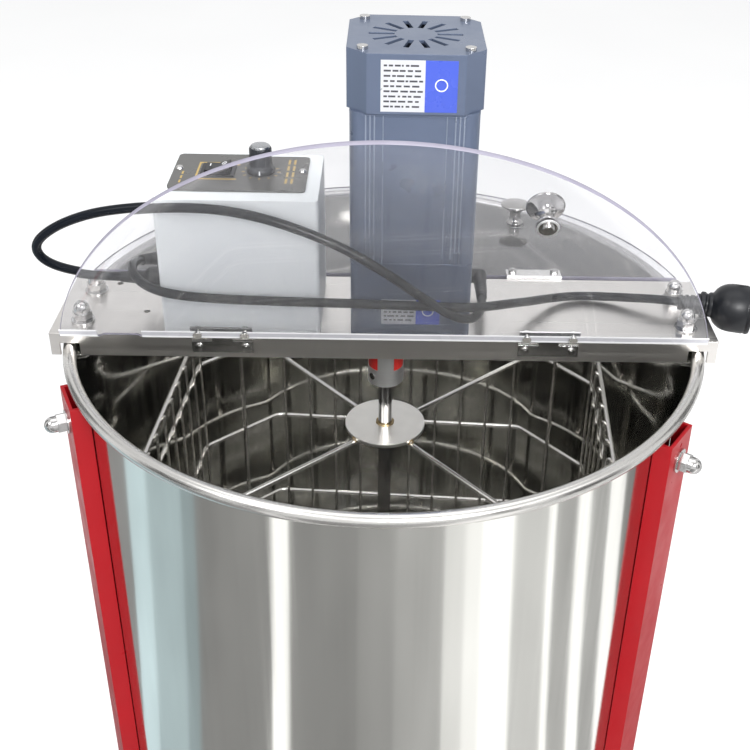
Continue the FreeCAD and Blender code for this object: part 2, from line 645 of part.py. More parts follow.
def make_panel():
    """The control plate on the box, with its screws, switch housing, rocker, dimmer and knob."""
    box_top = "Dims.tray_rise + Dims.box_height"
    plate_top = above(box_top + " + Dims.plate_sheet")
    body = block("control_plate", "Dims.plate_length / 2", "Dims.plate_width / 2", "Dims.plate_sheet", "4",
                 x="Dims.plate_x", y="Dims.plate_y", z=above(box_top))
    holes = new_sketch(body, level="Dims.plate_sheet")
    draw_box(holes, "Dims.rocker_x - Dims.plate_x", "Dims.rocker_y - Dims.plate_y", "11", "9")
    draw_circle(holes, "Dims.knob_x - Dims.plate_x", "Dims.knob_y - Dims.plate_y", "4.6")
    for x, y in plate_screw_spots():
        draw_circle(holes, "%s - Dims.plate_x" % x, "%s - Dims.plate_y" % y, "1.6")
    pocket(body, holes, "Dims.plate_sheet")
    node("control_plate", body)

    screws = []
    for i, (x, y) in enumerate(plate_screw_spots()):
        screws.append(place(fuse("plate_screw_%d" % i, [
            primitive("Cone", "plate_screw_head_%d" % i, Radius1="3.2", Radius2="2.2", Height="1.6"),
            rod("plate_screw_shank_%d" % i, "1.5", "8", z="-8")]), x, y, plate_top))
    group("plate_screws", screws)

    switch = block("switch_body", "10.8", "8.8", "22", z="-22")
    bezel = new_sketch(switch, level="22")
    draw_box(bezel, "0", "0", "12.5", "10")
    pad(switch, bezel, "1.6")
    recess = new_sketch(switch, level="23.6")
    draw_box(recess, "0", "0", "9.9", "7.9")
    pocket(switch, recess, "16")
    node("switch_body", place(switch, "Dims.rocker_x", "Dims.rocker_y", plate_top + " - 22"))

    rocker = new_body("power_rocker")
    side = new_sketch(rocker, "XZ_Plane", level="-7.5")
    draw_polygon(side, [("-9", "2.8"), ("-8.4", "-4"), ("0", "-8"), ("8.4", "-4"), ("9", "2.8"), ("0", "1.2")])
    pad(rocker, side, "15")
    tilt = Rotation(Vector(0, 1, 0), -8)
    node("power_rocker", place(rocker, "Dims.rocker_x", "Dims.rocker_y", plate_top + " + 1.6", tilt))

    node("speed_pot", turned("speed_pot", [
        ("3.05", "-16"), ("9", "-16"), ("9", "-3.2"), ("4.5", "-3.2"), ("4.5", "2"), ("3.05", "2")],
        x="Dims.knob_x", y="Dims.knob_y", z=plate_top))
    node("speed_knob", turned("speed_knob", [
        ("0", "-15"), ("3", "-15"), ("3", "2.6"), ("5.4", "2.6"), ("5.4", "0.5"), ("10.5", "0.5"), ("10.5", "4"),
        ("8.6", "5.5"), ("8.2", "20"), ("7.6", "20.6"), ("0", "20.6")], x="Dims.knob_x", y="Dims.knob_y", z=plate_top))


def make_board():
    """The speed controller's circuit board on four posts, with a heat sink, a capacitor and terminals."""
    middle, floor = "(Dims.box_left + Dims.box_right) / 2", above("Dims.tray_rise")
    members = [primitive("Box", "board", middle + " - 42", "-30", floor + " + 10", Length="84", Width="60", Height="1.6")]
    for i, (sx, sy) in enumerate(((-1, -1), (1, -1), (1, 1), (-1, 1))):
        members.append(rod("board_post_%d" % i, "2.5", "10", "%s + %d" % (middle, 37 * sx), str(25 * sy), floor))
    members.append(primitive("Box", "heat_sink", middle + " - 6", "-24", floor + " + 11.6", Length="12",
                             Width="46", Height="30"))
    members.append(rod("capacitor", "9", "26", middle + " + 26", "8", floor + " + 11.6"))
    members.append(primitive("Box", "terminals", middle + " - 38", "-20", floor + " + 11.6", Length="11",
                             Width="40", Height="10"))
    node("circuit_board", fuse("circuit_board", members))


def make_glands():
    """Two cable glands in the left side of the box, and the elbow boot where the motor's lead goes in."""
    glands = []
    for name, y, rise, reach in (("lead", "Dims.lead_gland_y", "Dims.lead_gland_rise", 16),
                                 ("mains", "Dims.mains_gland_y", "Dims.mains_gland_rise", 9)):
        profile = [("0", "-8"), ("9", "-8"), ("9", "-2"), ("6.2", "-2"), ("6.2", "0"), ("10", "0"), ("10", "4"),
                   ("8.5", "5"), ("8.5", str(reach - 3)), ("6.5", str(reach)), ("0", str(reach))]
        glands.append(turned(name + "_gland", profile, x="Dims.box_left", y=y, z=above(rise), turn=TO_MINUS_X))
    group("cable_glands", glands)

    face = "Dims.motor_offset + Dims.gearbox_width / 2"
    height = above("29.6")
    elbow = face + " + 11.5"
    boot = fuse("motor_boot", [
        rod("boot_flange", "9", "2.5", face, "26", height, TO_PLUS_X),
        rod("boot_root", "6", "11.5", face, "26", height, TO_PLUS_X),
        primitive("Sphere", "boot_elbow", elbow, "26", height, Radius="6"),
        primitive("Cone", "boot_nose", elbow, "26", height, TO_MINUS_Y, Radius1="6", Radius2="4.6",
                  Height="18")])
    node("motor_boot", boot)


# ---------------------------------------------------------------- lids and hinges


def lid_turns():
    """How each lid's own frame lies: x along the hinge, y up the lid and z out of one of its faces."""
    return {"front": Rotation(Vector(1, 0, 0), 90 + dim("lid_tilt")),
            "rear": Rotation(Vector(1, 0, 0), -dim("rear_droop"))}


# the side of each lid's frame that faces up when the lid is closed
TOP_SIDE = {"front": -1, "rear": 1}
Y_SIDE = {"front": -1, "rear": 1}


def on_hinge(obj, which):
    """Places a piece that is drawn in a lid's own frame."""
    return place(obj, "0", "%d * Dims.hinge_y" % Y_SIDE[which], above("Dims.hinge_rise"), lid_turns()[which])


def make_lid(which):
    """A clear half disc with its straight edge at the hinge."""
    top = TOP_SIDE[which]
    body = new_body(which + "_lid")
    sketch = new_sketch(body)
    radius, drop, edge = dim("lid_radius"), dim("hinge_y"), dim("lid_edge")
    half = math.sqrt(radius ** 2 - (edge + drop) ** 2)
    start = math.atan2(edge + drop, half)
    circle = Part.Circle(Vector(0, -drop, 0), Vector(0, 0, 1), radius)
    arc = sketch.addGeometry(Part.ArcOfCircle(circle, start, math.pi - start), False)
    line = sketch.addGeometry(Part.LineSegment(Vector(-half, edge, 0), Vector(half, edge, 0)), False)
    sketch.addConstraint(Sketcher.Constraint("Coincident", arc, 2, line, 1))
    sketch.addConstraint(Sketcher.Constraint("Coincident", arc, 1, line, 2))
    pin_point(sketch, arc, 3, "0", "-Dims.hinge_y")
    number = sketch.addConstraint(Sketcher.Constraint("Radius", arc, radius))
    sketch.setExpression("Constraints[%d]" % number, "Dims.lid_radius")
    for end in (1, 2):
        number = sketch.addConstraint(Sketcher.Constraint("DistanceY", -1, 1, line, end, edge))
        sketch.setExpression("Constraints[%d]" % number, "Dims.lid_edge")
    pad(body, sketch, "Dims.lid_sheet", backwards=top > 0)
    holes = new_sketch(body)
    for x, y in leaf_screw_spots():
        draw_circle(holes, x, y, "1.7")
    draw_circle(holes, "Dims.%s_knob_x" % which, "Dims.%s_knob_up" % which, "2.1")
    if which == "front":
        draw_polygon(holes, [("-214", "Dims.lid_edge - 1"), ("-183", "Dims.lid_edge - 1"),
                             ("-186", "Dims.lid_edge + 2"), ("-211", "Dims.lid_edge + 2")])
    pocket(body, holes, "Dims.lid_sheet", upwards=top < 0)
    node(which + "_lid", on_hinge(body, which))


def leaf_screw_spots():
    """The screws through the lid's two leaves, in the lid's own frame."""
    return [("%d * Dims.hinge_x + (%d) * Dims.leaf_screw_spread" % (side, step), "Dims.leaf_screw_up")
            for side in (-1, 1) for step in (-1, 1)]


def leaf_with_knuckles(name, knuckles, near, far, z_low, holes):
    """A hinge leaf in its own frame: knuckles round the X axis and a plate from near to far along Y."""
    half = "Dims.leaf_length / 2"
    members = [primitive("Box", name + "_plate", "-" + half, near, z_low, Length="Dims.leaf_length",
                         Width="%s - (%s)" % (far, near), Height="Dims.leaf_sheet")]
    for i, (low, high) in enumerate(knuckles):
        length = "%s - (%s)" % (high, low)
        members.append(rod("%s_knuckle_%d" % (name, i), "Dims.knuckle_radius", length, low, turn=TO_PLUS_X))
        members.append(primitive("Box", "%s_tongue_%d" % (name, i), low, "0", z_low, Length=length,
                                 Width="(%s) + 1" % near, Height="Dims.leaf_sheet"))
    tools = [rod("%s_hole_%d" % (name, i), "1.7", "Dims.leaf_sheet + 2", x, y, z_low + " - 1")
             for i, (x, y) in enumerate(holes)]
    return fuse(name + "_solid", members), tools


MIDDLE_KNUCKLE = [("-7.8", "7.8")]
OUTER_KNUCKLES = [("-Dims.leaf_length / 2", "-8.1"), ("8.1", "Dims.leaf_length / 2")]


def make_hinges(which):
    """Moving leaves and their screws for one lid; returns its fixed leaves, pins and fixed screws."""
    top = TOP_SIDE[which]
    leaves, screws, fixed, pins, fixed_screws = [], [], [], [], []
    low = "0" if top > 0 else "-Dims.leaf_sheet"
    spread = [("(%d) * Dims.leaf_screw_spread" % step, "Dims.leaf_screw_up") for step in (-1, 1)]
    for side in (-1, 1):
        name = "%s_leaf_%s" % (which, "left" if side < 0 else "right")
        x = "%d * Dims.hinge_x" % side
        solid, tools = leaf_with_knuckles(name, OUTER_KNUCKLES, "2.7", "Dims.leaf_reach", low, spread)
        bore = rod(name + "_bore", "Dims.hinge_pin_radius + Dims.bearing_clearance", "Dims.leaf_length + 2",
                   "-Dims.leaf_length / 2 - 1", turn=TO_PLUS_X)
        leaf = cut(name, solid, tools + [bore])
        leaves.append(place(leaf, x, "%d * Dims.hinge_y" % Y_SIDE[which], above("Dims.hinge_rise"),
                            lid_turns()[which]))
        for step in (-1, 1):
            tag = "%s_screw_%d" % (name, step)
            screws.append(lid_screw(tag, which, "%s + (%d) * Dims.leaf_screw_spread" % (x, step),
                                    "Dims.leaf_screw_up"))
        fixed.append(fixed_leaf(name, which, x))
        pins.append(rod(name + "_pin", "Dims.hinge_pin_radius", "Dims.leaf_length",
                        x + " - Dims.leaf_length / 2", "%d * Dims.hinge_y" % Y_SIDE[which],
                        above("Dims.hinge_rise"), TO_PLUS_X))
        fixed_screws += [fixed_screw("%s_flange_screw_%d" % (name, step), which,
                                     "%s + (%d) * Dims.leaf_screw_spread" % (x, step)) for step in (-1, 1)]
    group(which + "_lid_leaves", leaves)
    return screws, fixed, pins, fixed_screws


def fixed_leaf(name, which, x):
    """The leaf on the tray's flange, with the middle knuckle."""
    side = Y_SIDE[which]
    spots = [("(%d) * Dims.leaf_screw_spread" % step, "Dims.leaf_screw_down") for step in (-1, 1)]
    solid, tools = leaf_with_knuckles(name + "_fixed", MIDDLE_KNUCKLE, "2.7", "Dims.leaf_reach",
                                      "-Dims.leaf_sheet - 1.2" if side < 0 else "1.2", spots)
    tools.append(rod(name + "_fixed_bore", "Dims.hinge_pin_radius", "20", "-10", turn=TO_PLUS_X))
    return place(cut(name + "_fixed_leaf", solid, tools), x, "%d * Dims.hinge_y" % side, above("Dims.hinge_rise"),
                 Rotation(Vector(1, 0, 0), -90))


def fixed_screw(name, which, x):
    """A screw with its nut through a fixed leaf and the tray's flange, head outwards."""
    head = rod(name + "_head", "3.2", "2", z="-2")
    shank = rod(name + "_shank", "1.5", "7")
    nut = primitive("Prism", name + "_nut", z="Dims.leaf_sheet + Dims.tray_sheet + 0.4", Polygon="6",
                    Circumradius="3.2", Height="2.4")
    side = Y_SIDE[which]
    return place(fuse(name, [head, shank, nut]), x, "%d * (Dims.hinge_y - 1.2 + Dims.leaf_sheet - 1.2)" % side,
                 above("Dims.hinge_rise - Dims.leaf_screw_down"), TO_PLUS_Y if side < 0 else TO_MINUS_Y)


def lid_screw(name, which, x, up):
    """A screw and nut through the lid and a leaf, head on the lid's underside, drawn in the lid's frame."""
    top = TOP_SIDE[which]
    flip = UP if top > 0 else Rotation(Vector(1, 0, 0), 180)
    head = rod(name + "_head", "3.3", "2", z="-2 - Dims.lid_sheet")
    shank = rod(name + "_shank", "1.6", "Dims.lid_sheet + 4.4", z="-Dims.lid_sheet")
    nut = primitive("Prism", name + "_nut", z="Dims.leaf_sheet", Polygon="6", Circumradius="3.4", Height="2.4")
    screw = fuse(name, [head, shank, nut])
    frame = lid_turns()[which]
    base = "(%s)" % up
    tilt = dim("lid_tilt") + 90 if which == "front" else -dim("rear_droop")
    y = "%d * Dims.hinge_y + %s * cos(%s deg)" % (Y_SIDE[which], base, tilt)
    z = above("Dims.hinge_rise + %s * sin(%s deg)" % (base, tilt))
    return place(screw, x, y, z, frame * flip)


def make_lid_knob(which):
    """A trumpet-shaped knob on top of a lid, held by a screw from below."""
    top = TOP_SIDE[which]
    frame = lid_turns()[which] * (UP if top > 0 else Rotation(Vector(1, 0, 0), 180))
    up = "Dims.%s_knob_up" % which
    tilt = dim("lid_tilt") + 90 if which == "front" else -dim("rear_droop")
    where = {"x": "Dims.%s_knob_x" % which,
             "y": "%d * Dims.hinge_y + %s * cos(%s deg)" % (Y_SIDE[which], up, tilt),
             "z": above("Dims.hinge_rise + %s * sin(%s deg)" % (up, tilt)), "turn": frame}
    node(which + "_lid_knob", turned(which + "_lid_knob", [
        ("2", "0"), ("8", "0"), ("8", "1.6"), ("5", "5"), ("4.8", "11"), ("7.5", "15"), ("13.5", "17"),
        ("13.5", "18.6"), ("9", "20"), ("0", "20.6"), ("0", "9"), ("2", "9")], **where))
    name = which + "_knob_screw"
    screw = fuse(name, [rod(name + "_head", "4", "2.4", z="-3.4 - Dims.lid_sheet"),
                        rod(name + "_washer", "6.5", "1", z="-1 - Dims.lid_sheet"),
                        rod(name + "_shank", "2", "Dims.lid_sheet + 8", z="-Dims.lid_sheet")])
    return place(screw, **where)


def make_lids():
    fixed, pins, flange_screws = [], [], []
    for which in ("front", "rear"):
        make_lid(which)
        screws, leaves, rods, more = make_hinges(which)
        screws.append(make_lid_knob(which))
        group(which + "_lid_screws", screws)
        fixed += leaves
        pins += rods
        flange_screws += more
    group("hinge_leaves", fixed)
    group("hinge_pins", pins)
    group("leaf_screws", flange_screws)


# ---------------------------------------------------------------- basket


def basket_spot(x, y):
    """Expressions for a point of the basket, which rests turned a little about the drum's axis."""
    turn = "(Dims.basket_turn * 1deg)"
    return ("(%s) * cos(%s) - (%s) * sin(%s)" % (x, turn, y, turn),
            "(%s) * sin(%s) + (%s) * cos(%s)" % (x, turn, y, turn))


def basket_rod(name, radius, length, x, y, z, heading):
    """A level rod of the basket that starts at x, y and runs along a heading in degrees."""
    along = Rotation(Vector(0, 0, 1), heading + dim("basket_turn")) * TO_PLUS_X
    return rod(name, radius, length, *basket_spot(x, y), z, along)


RING_DROPS = ("Dims.basket_top", "Dims.basket_top + 35", "231", "331", "431", "Dims.basket_bottom - 35",
              "Dims.basket_bottom")


def make_rings():
    """Seven eight-sided hoops, each drawn as eight straight rods a millimetre short of the corners."""
    half, flat, gap = "Dims.basket_half", "Dims.basket_flat", 1.0
    slope = "(%s - %s)" % (half, flat)
    rods = []
    for i, drop in enumerate(RING_DROPS):
        for quarter in range(4):
            heading = 90 * quarter
            turn = "(%d deg)" % heading
            for tag, start, along, length in (
                    ("side", (half, "%g - %s" % (gap, flat)), 90, "2 * %s - %g" % (flat, 2 * gap)),
                    ("corner", ("%s - %g" % (half, gap * 0.7071), "%s + %g" % (flat, gap * 0.7071)), 135,
                     "%s * sqrt(2) - %g" % (slope, 2 * gap))):
                x = "(%s) * cos%s - (%s) * sin%s" % (start[0], turn, start[1], turn)
                y = "(%s) * sin%s + (%s) * cos%s" % (start[0], turn, start[1], turn)
                rods.append(basket_rod("ring_%d_%s_%d" % (i, tag, quarter), "Dims.ring_rod", length, x, y,
                                       below(drop), heading + along))
    group("basket_rings", rods)


def make_wires():
    """Upright wires inside the hoops: ten on each side and one at the middle of each corner."""
    inset = "(Dims.basket_half - Dims.ring_rod - Dims.wire_rod - 0.1)"
    length = "Dims.basket_bottom - Dims.basket_top + 5"
    rods = []
    for quarter in range(4):
        turn = "(%d deg)" % (90 * quarter)
        for i in range(10):
            along = "(%g * Dims.wire_pitch)" % (i - 4.5)
            x = "%s * cos%s - %s * sin%s" % (inset, turn, along, turn)
            y = "%s * sin%s + %s * cos%s" % (inset, turn, along, turn)
            rods.append(rod("wire_%d_%d" % (quarter, i), "Dims.wire_rod", length, *basket_spot(x, y),
                            below("Dims.basket_bottom + 2.5")))
        reach = "((Dims.basket_half + Dims.basket_flat) / sqrt(2) - 2 * Dims.ring_rod - 0.1)"
        x, y = on_radius(str(90 * quarter + 45), reach)
        rods.append(rod("post_%d" % quarter, "Dims.ring_rod", length, *basket_spot(x, y),
                        below("Dims.basket_bottom + 2.5")))
    group("basket_wires", rods)


def make_hubs_and_spokes():
    shaft_bottom = "Dims.drum_depth - Dims.floor_rise - Dims.floor_sheet - 13.3"
    node("basket_shaft", rod("basket_shaft", "Dims.shaft_radius", shaft_bottom + " - Dims.coupling_mid_low - 3",
                             z=below(shaft_bottom)))
    discs, spokes = [], []
    top = below("Dims.basket_top + Dims.hub_sheet")
    low = below("Dims.basket_bottom + Dims.spoke_rod + Dims.hub_sheet")
    for name, z in (("upper", top), ("lower", low)):
        discs.append(tube(name + "_hub", "Dims.hub_radius", "Dims.shaft_radius", "Dims.hub_sheet", z=z))
    corner = "(Dims.basket_half + Dims.basket_flat) / sqrt(2)"
    start = "(Dims.shaft_radius + 3)"
    for quarter in range(4):
        azimuth = 45 + 90 * quarter
        x, y = on_radius(str(azimuth), start)
        spokes.append(basket_rod("upper_spoke_%d" % quarter, "Dims.spoke_rod",
                                 "%s - %s - 3 * Dims.ring_rod - 0.4" % (corner, start), x, y,
                                 top + " - Dims.spoke_rod - 0.05", azimuth))
        spokes.append(basket_rod("lower_spoke_%d" % quarter, "Dims.spoke_rod",
                                 "%s - %s - 3 * Dims.ring_rod - 0.4" % (corner, start), x, y,
                                 below("Dims.basket_bottom"), azimuth))
    group("hub_discs", discs)
    group("basket_spokes", spokes)


def jaw_sectors(name, first, spread, radius, z, height):
    """Three equal sectors of a round bar, centred at first, first + 120 and first + 240 degrees."""
    return [primitive("Cylinder", "%s_%d" % (name, i), z=z,
                      turn=Rotation(Vector(0, 0, 1), first + 120 * i - spread / 2), Radius=radius,
                      Height=height, Angle=str(spread)) for i in range(3)]


def make_coupling():
    """A jaw coupling: wide jaws on the basket's hub, narrower ones above, and a soft spider wrapped round them."""
    jaw = "Dims.coupling_mid_low - Dims.coupling_mid_high"
    low_end = below("Dims.coupling_mid_low")
    for name, seat, length, first, spread, reach, bore in (
            ("lower_jaw_hub", "Dims.coupling_low", "Dims.coupling_low - Dims.coupling_mid_low", 30, 54,
             "Dims.coupling_radius", "Dims.shaft_radius"),
            ("upper_jaw_hub", "Dims.coupling_mid_high", "Dims.coupling_mid_high - Dims.coupling_high", 90, 40,
             "Dims.inner_jaw_radius", "Dims.output_radius")):
        hub = rod(name + "_barrel", "Dims.coupling_radius", length, z=below(seat))
        jaws = jaw_sectors(name + "_jaw", first, spread, reach, low_end, jaw)
        hollow = rod(name + "_hollow", "7", jaw, z=low_end)
        solid = fuse(name + "_solid", [hub, cut(name + "_jaws", fuse(name + "_sectors", jaws), [hollow])])
        node(name, cut(name, solid, [rod(name + "_bore", bore, "60", z=below("Dims.coupling_low"))]))
    disc = rod("spider_disc", "Dims.coupling_radius - 0.3", jaw + " - 0.2", z=below("Dims.coupling_mid_low - 0.1"))
    gap_start, gap_height = below("Dims.coupling_mid_low + 1"), jaw + " + 2"
    gaps = jaw_sectors("spider_gap", 30, 56, "Dims.coupling_radius + 1", gap_start, gap_height)
    gaps += jaw_sectors("spider_slot", 90, 43, "Dims.inner_jaw_radius + 0.3", gap_start, gap_height)
    middle = rod("spider_core", "6.6", jaw + " + 4", z=below("Dims.coupling_mid_low + 2"))
    sectors = cut("spider_gaps", fuse("spider_sectors", gaps), [middle])
    node("jaw_spider", cut("jaw_spider", disc, [sectors]))


# ---------------------------------------------------------------- honey gate


def make_gate():
    """A spout through the wall with a flanged mouth, a flap on a side pivot, and a wing nut that holds it."""
    height = below("Dims.gate_drop")
    mouth, outer = "Dims.gate_reach", "Dims.gate_bore + Dims.gate_wall"
    face = "Dims.gate_reach + Dims.gate_flange"
    spout = fuse("gate_spout_solid", [
        rod("gate_tube", outer, mouth + " - Dims.wall_radius + 3", "0", "3 - Dims.wall_radius", height, TO_MINUS_Y),
        rod("gate_flange", "Dims.gate_flange_radius", "Dims.gate_flange", "0", "-" + mouth, height, TO_MINUS_Y),
        primitive("Box", "gate_ears", "-Dims.gate_pivot_offset - 9", "-(%s)" % face, height + " - 9",
                  Length="2 * Dims.gate_pivot_offset + 18", Width="Dims.gate_flange", Height="18")])
    bores = [rod("gate_bore", "Dims.gate_bore", "60", "0", "10 - Dims.wall_radius", height, TO_MINUS_Y),
             rod("gate_pivot_hole", "4", "10", "-Dims.gate_pivot_offset", "3 - " + mouth, height, TO_MINUS_Y),
             rod("gate_stud_hole", "3", "10", "Dims.gate_pivot_offset", "3 - " + mouth, height, TO_MINUS_Y)]
    node("gate_spout", cut("gate_spout", spout, bores))
    node("gate_gasket", tube("gate_gasket", "Dims.gate_flange_radius - 1", "Dims.gate_bore + 0.5", "1.5",
                             "0", "-(%s)" % face, height, TO_MINUS_Y))

    back = "(%s + 1.5 + Dims.gate_gap)" % face
    front = "(%s + Dims.gate_flap)" % back
    pivot = fuse("gate_pivot", [
        rod("gate_pivot_shank", "4", front + " - %s + 6" % mouth, "-Dims.gate_pivot_offset", "3 - " + mouth, height,
            TO_MINUS_Y),
        primitive("Prism", "gate_pivot_head", "-Dims.gate_pivot_offset", "-%s - Dims.gate_gap" % front, height,
                  TO_MINUS_Y, Polygon="6", Circumradius="7.5", Height="5")])
    stud = rod("gate_stud", "3", front + " - %s + 14" % mouth, "Dims.gate_pivot_offset", "3 - " + mouth, height,
               TO_MINUS_Y)
    group("gate_studs", [pivot, stud])

    flap = fuse("gate_flap_solid", [
        rod("flap_disc", "Dims.gate_flange_radius - 2", "Dims.gate_flap", "0", "-" + back, height, TO_MINUS_Y),
        rod("flap_ear", "9", "Dims.gate_flap", "-Dims.gate_pivot_offset", "-" + back, height, TO_MINUS_Y),
        primitive("Box", "flap_bar", "-Dims.gate_pivot_offset", "-" + front, height + " - 9",
                  Length="2 * Dims.gate_pivot_offset + 9", Width="Dims.gate_flap", Height="18"),
        primitive("Box", "flap_handle", "Dims.gate_pivot_offset - 26", "-" + front, height,
                  Length="12", Width="Dims.gate_flap", Height="58")])
    node("gate_flap", cut("gate_flap", flap, [
        rod("flap_pivot_hole", "4 + Dims.bearing_clearance", "20", "-Dims.gate_pivot_offset", "5 - " + back, height,
            TO_MINUS_Y),
        primitive("Box", "flap_slot", "Dims.gate_pivot_offset - 4.2", "-%s - 5" % front, height + " - 20",
                  Length="8.4", Width="20", Height="24.2")]))

    seat = "-%s - Dims.gate_gap" % front
    wing = fuse("wing_nut_solid", [
        rod("wing_washer", "8.5", "1.5", "Dims.gate_pivot_offset", seat, height, TO_MINUS_Y),
        rod("wing_hub", "6", "9", "Dims.gate_pivot_offset", seat, height, TO_MINUS_Y),
        primitive("Box", "wing_blades", "Dims.gate_pivot_offset - 15", seat + " - 16", height + " - 1.5",
                  Length="30", Width="10", Height="3")])
    gap = primitive("Box", "wing_gap", "Dims.gate_pivot_offset - 4.5", seat + " - 17", height + " - 4",
                    Length="9", Width="8", Height="8")
    node("gate_wing_nut", cut("gate_wing_nut", wing, [
        gap, rod("wing_bore", "3 + Dims.bearing_clearance", "30", "Dims.gate_pivot_offset", seat + " + 5", height,
                 TO_MINUS_Y)]))


# ---------------------------------------------------------------- cords and plug

# points of each cord's route: x, y, and height above the rim
MOTOR_LEAD = [
    (-184, -12.5, 44.5), (-207, -12.5, 44.5), (-236, -18, 49.5), (-257, -26, 62), (-261, -32, 79),
    (-243, -38, 96.5), (-215, -43, 110), (-186, -47, 116.8), (-155, -48.5, 120), (-125, -49, 119.8),
    (-96, -49.5, 115.3), (-67, -50.5, 106.7), (-33, -53, 93.2), (-1, -56.5, 74.7), (28, -59.5, 54.5),
    (50, -57.8, 38.8), (64, -50, 32.4), (72, -33, 30), (74.5, -12.5, 29.6), (74.5, 8, 29.6)]
POWER_CORD = [
    (-177, 17, 45.5), (-187, 17, 45.5), (-194, 4.5, 49.6), (-194, -13.5, 56), (-190, -31.5, 58.2),
    (-181, -43, 55.2), (-166, -48.4, 51.2), (-146, -49.6, 48.6), (-115, -49.8, 46.8), (-75, -49.9, 45.8),
    (-34, -49.7, 45), (8, -49.2, 43.6), (40, -49, 42.6), (62, -49.6, 42.5), (78, -44.5, 41.3), (95, -29.5, 35.5),
    (112, -10.5, 27), (130, 7, 20.3), (151, 16, 17.8), (175, 14.8, 18.4), (198, 7.2, 21.6), (217, -0.36, 24.96),
    (230.6, -3.5, 24.6)]
PLUG_HEADING = (-13, -1.5)


def cord_path(name, points):
    """Straight runs joined by tangent arcs, each as large as its two runs allow."""
    spots = [Vector(x, y, z + dim("rim_height")) for x, y, z in points]
    edges, radii, here = [], [], spots[0]
    for before, corner, after in zip(spots, spots[1:], spots[2:]):
        back, ahead = (before - corner), (after - corner)
        reach = 0.45 * min(back.Length, ahead.Length)
        turn = math.pi - back.getAngle(ahead)
        radii.append(reach / math.tan(turn / 2))
        start = corner + back.normalize() * reach
        end = corner + ahead.normalize() * reach
        inward = (back + ahead).normalize()
        bend = Part.Arc(start, arc_middle(corner, start, end, radii[-1], inward), end)
        edges += [Part.LineSegment(here, start).toShape(), bend.toShape()]
        here = end
    edges.append(Part.LineSegment(here, spots[-1]).toShape())
    print("%s: bend radii %s" % (name, " ".join("%.0f" % r for r in radii)))
    return Part.Wire(edges)


def arc_middle(corner, start, end, radius, inward):
    """The point halfway along the arc that is tangent to both runs at start and end."""
    chord = (end - start).Length
    to_chord = ((start + end) * 0.5 - corner).Length
    rise = radius - math.sqrt(max(radius ** 2 - (chord / 2) ** 2, 0))
    return corner + inward * (to_chord - rise)


def make_cord(name, points):
    radius = dim("cord_radius")
    path = cord_path(name, points)
    first = path.Edges[0]
    ring = Part.Wire([Part.Circle(first.Vertexes[0].Point, first.tangentAt(first.FirstParameter), radius).toShape()])
    solid = path.makePipeShell([ring], True, True)
    full = math.pi * radius ** 2 * path.Length
    print("%s: length %.0f mm, volume %.0f of %.0f" % (name, path.Length, solid.Volume, full))
    cord = doc.addObject("Part::Feature", name)
    cord.Shape = solid
    node(name, cord)


def make_plug():
    """A round two-pin plug with a ribbed neck, hanging over the tray's right end."""
    yaw, pitch = PLUG_HEADING
    x, y, z = POWER_CORD[-1]
    heading = Rotation(Vector(0, 0, 1), yaw) * Rotation(Vector(0, 1, 0), -pitch) * TO_PLUS_X
    body = turned("plug_body", [
        ("0", "0"), ("6.2", "0"), ("7.6", "3"), ("7.6", "17"), ("9.6", "18"), ("9.6", "21"), ("8.4", "22"),
        ("8.4", "23"), ("9.8", "24"), ("9.8", "27"), ("15", "30"), ("18.2", "36"), ("19", "42"), ("19", "56"),
        ("18", "57"), ("0", "57")])
    pins = [rod("plug_pin_%d" % i, "2.4", "19", "0", str(offset), "57") for i, offset in enumerate((-9.5, 9.5))]
    plug = fuse("power_plug", [body] + pins)
    node("power_plug", place(plug, str(x), str(y), above(str(z)), heading))


# ---------------------------------------------------------------- build and export


def check_everything():
    """Stops unless every object recomputed and every sub-part is a valid shape."""
    for obj in doc.Objects:
        if any(word in obj.State for word in ("Invalid", "Error")):
            raise RuntimeError("%s failed: %s" % (obj.Name, obj.State))
    for name, obj in NODES.items():
        if obj.Shape.isNull() or not obj.Shape.isValid() or not obj.Shape.Solids:
            raise RuntimeError("%s has no valid shape" % name)


def export():
    os.makedirs("parts", exist_ok=True)
    for name, obj in NODES.items():
        obj.Shape.exportStep("parts/%s.step" % name)
    print("%d sub-parts" % len(NODES))


make_drum()
make_bottom_bearing()
for leg_name, leg_angle in LEG_ANGLES.items():
    make_leg("leg_" + leg_name, leg_angle)
make_fasteners()
make_tray()
make_gearbox()
make_motor()
make_gear_train()
make_control_box()
make_panel()
make_board()
make_glands()
make_lids()
make_rings()
make_wires()
make_hubs_and_spokes()
make_coupling()
make_gate()
make_cord("motor_lead", MOTOR_LEAD)
make_cord("power_cord", POWER_CORD)
make_plug()
doc.recompute()
check_everything()
export()
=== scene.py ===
import math
import random
import bmesh
import bpy
from mathutils import Matrix, Vector


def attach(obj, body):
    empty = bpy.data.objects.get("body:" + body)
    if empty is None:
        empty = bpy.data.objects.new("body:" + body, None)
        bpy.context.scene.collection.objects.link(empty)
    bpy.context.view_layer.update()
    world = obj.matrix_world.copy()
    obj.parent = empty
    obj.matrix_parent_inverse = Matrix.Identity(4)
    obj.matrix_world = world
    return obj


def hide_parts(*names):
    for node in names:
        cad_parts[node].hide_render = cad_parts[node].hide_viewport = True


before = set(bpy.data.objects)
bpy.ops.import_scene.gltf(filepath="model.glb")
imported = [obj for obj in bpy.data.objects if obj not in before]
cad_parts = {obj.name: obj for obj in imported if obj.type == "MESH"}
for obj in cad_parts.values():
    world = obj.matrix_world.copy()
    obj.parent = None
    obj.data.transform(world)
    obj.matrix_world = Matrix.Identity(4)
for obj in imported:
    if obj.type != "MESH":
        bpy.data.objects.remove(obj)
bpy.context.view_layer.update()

MM = 0.001
RIM = 0.860  # height of the drum's rim, in metres
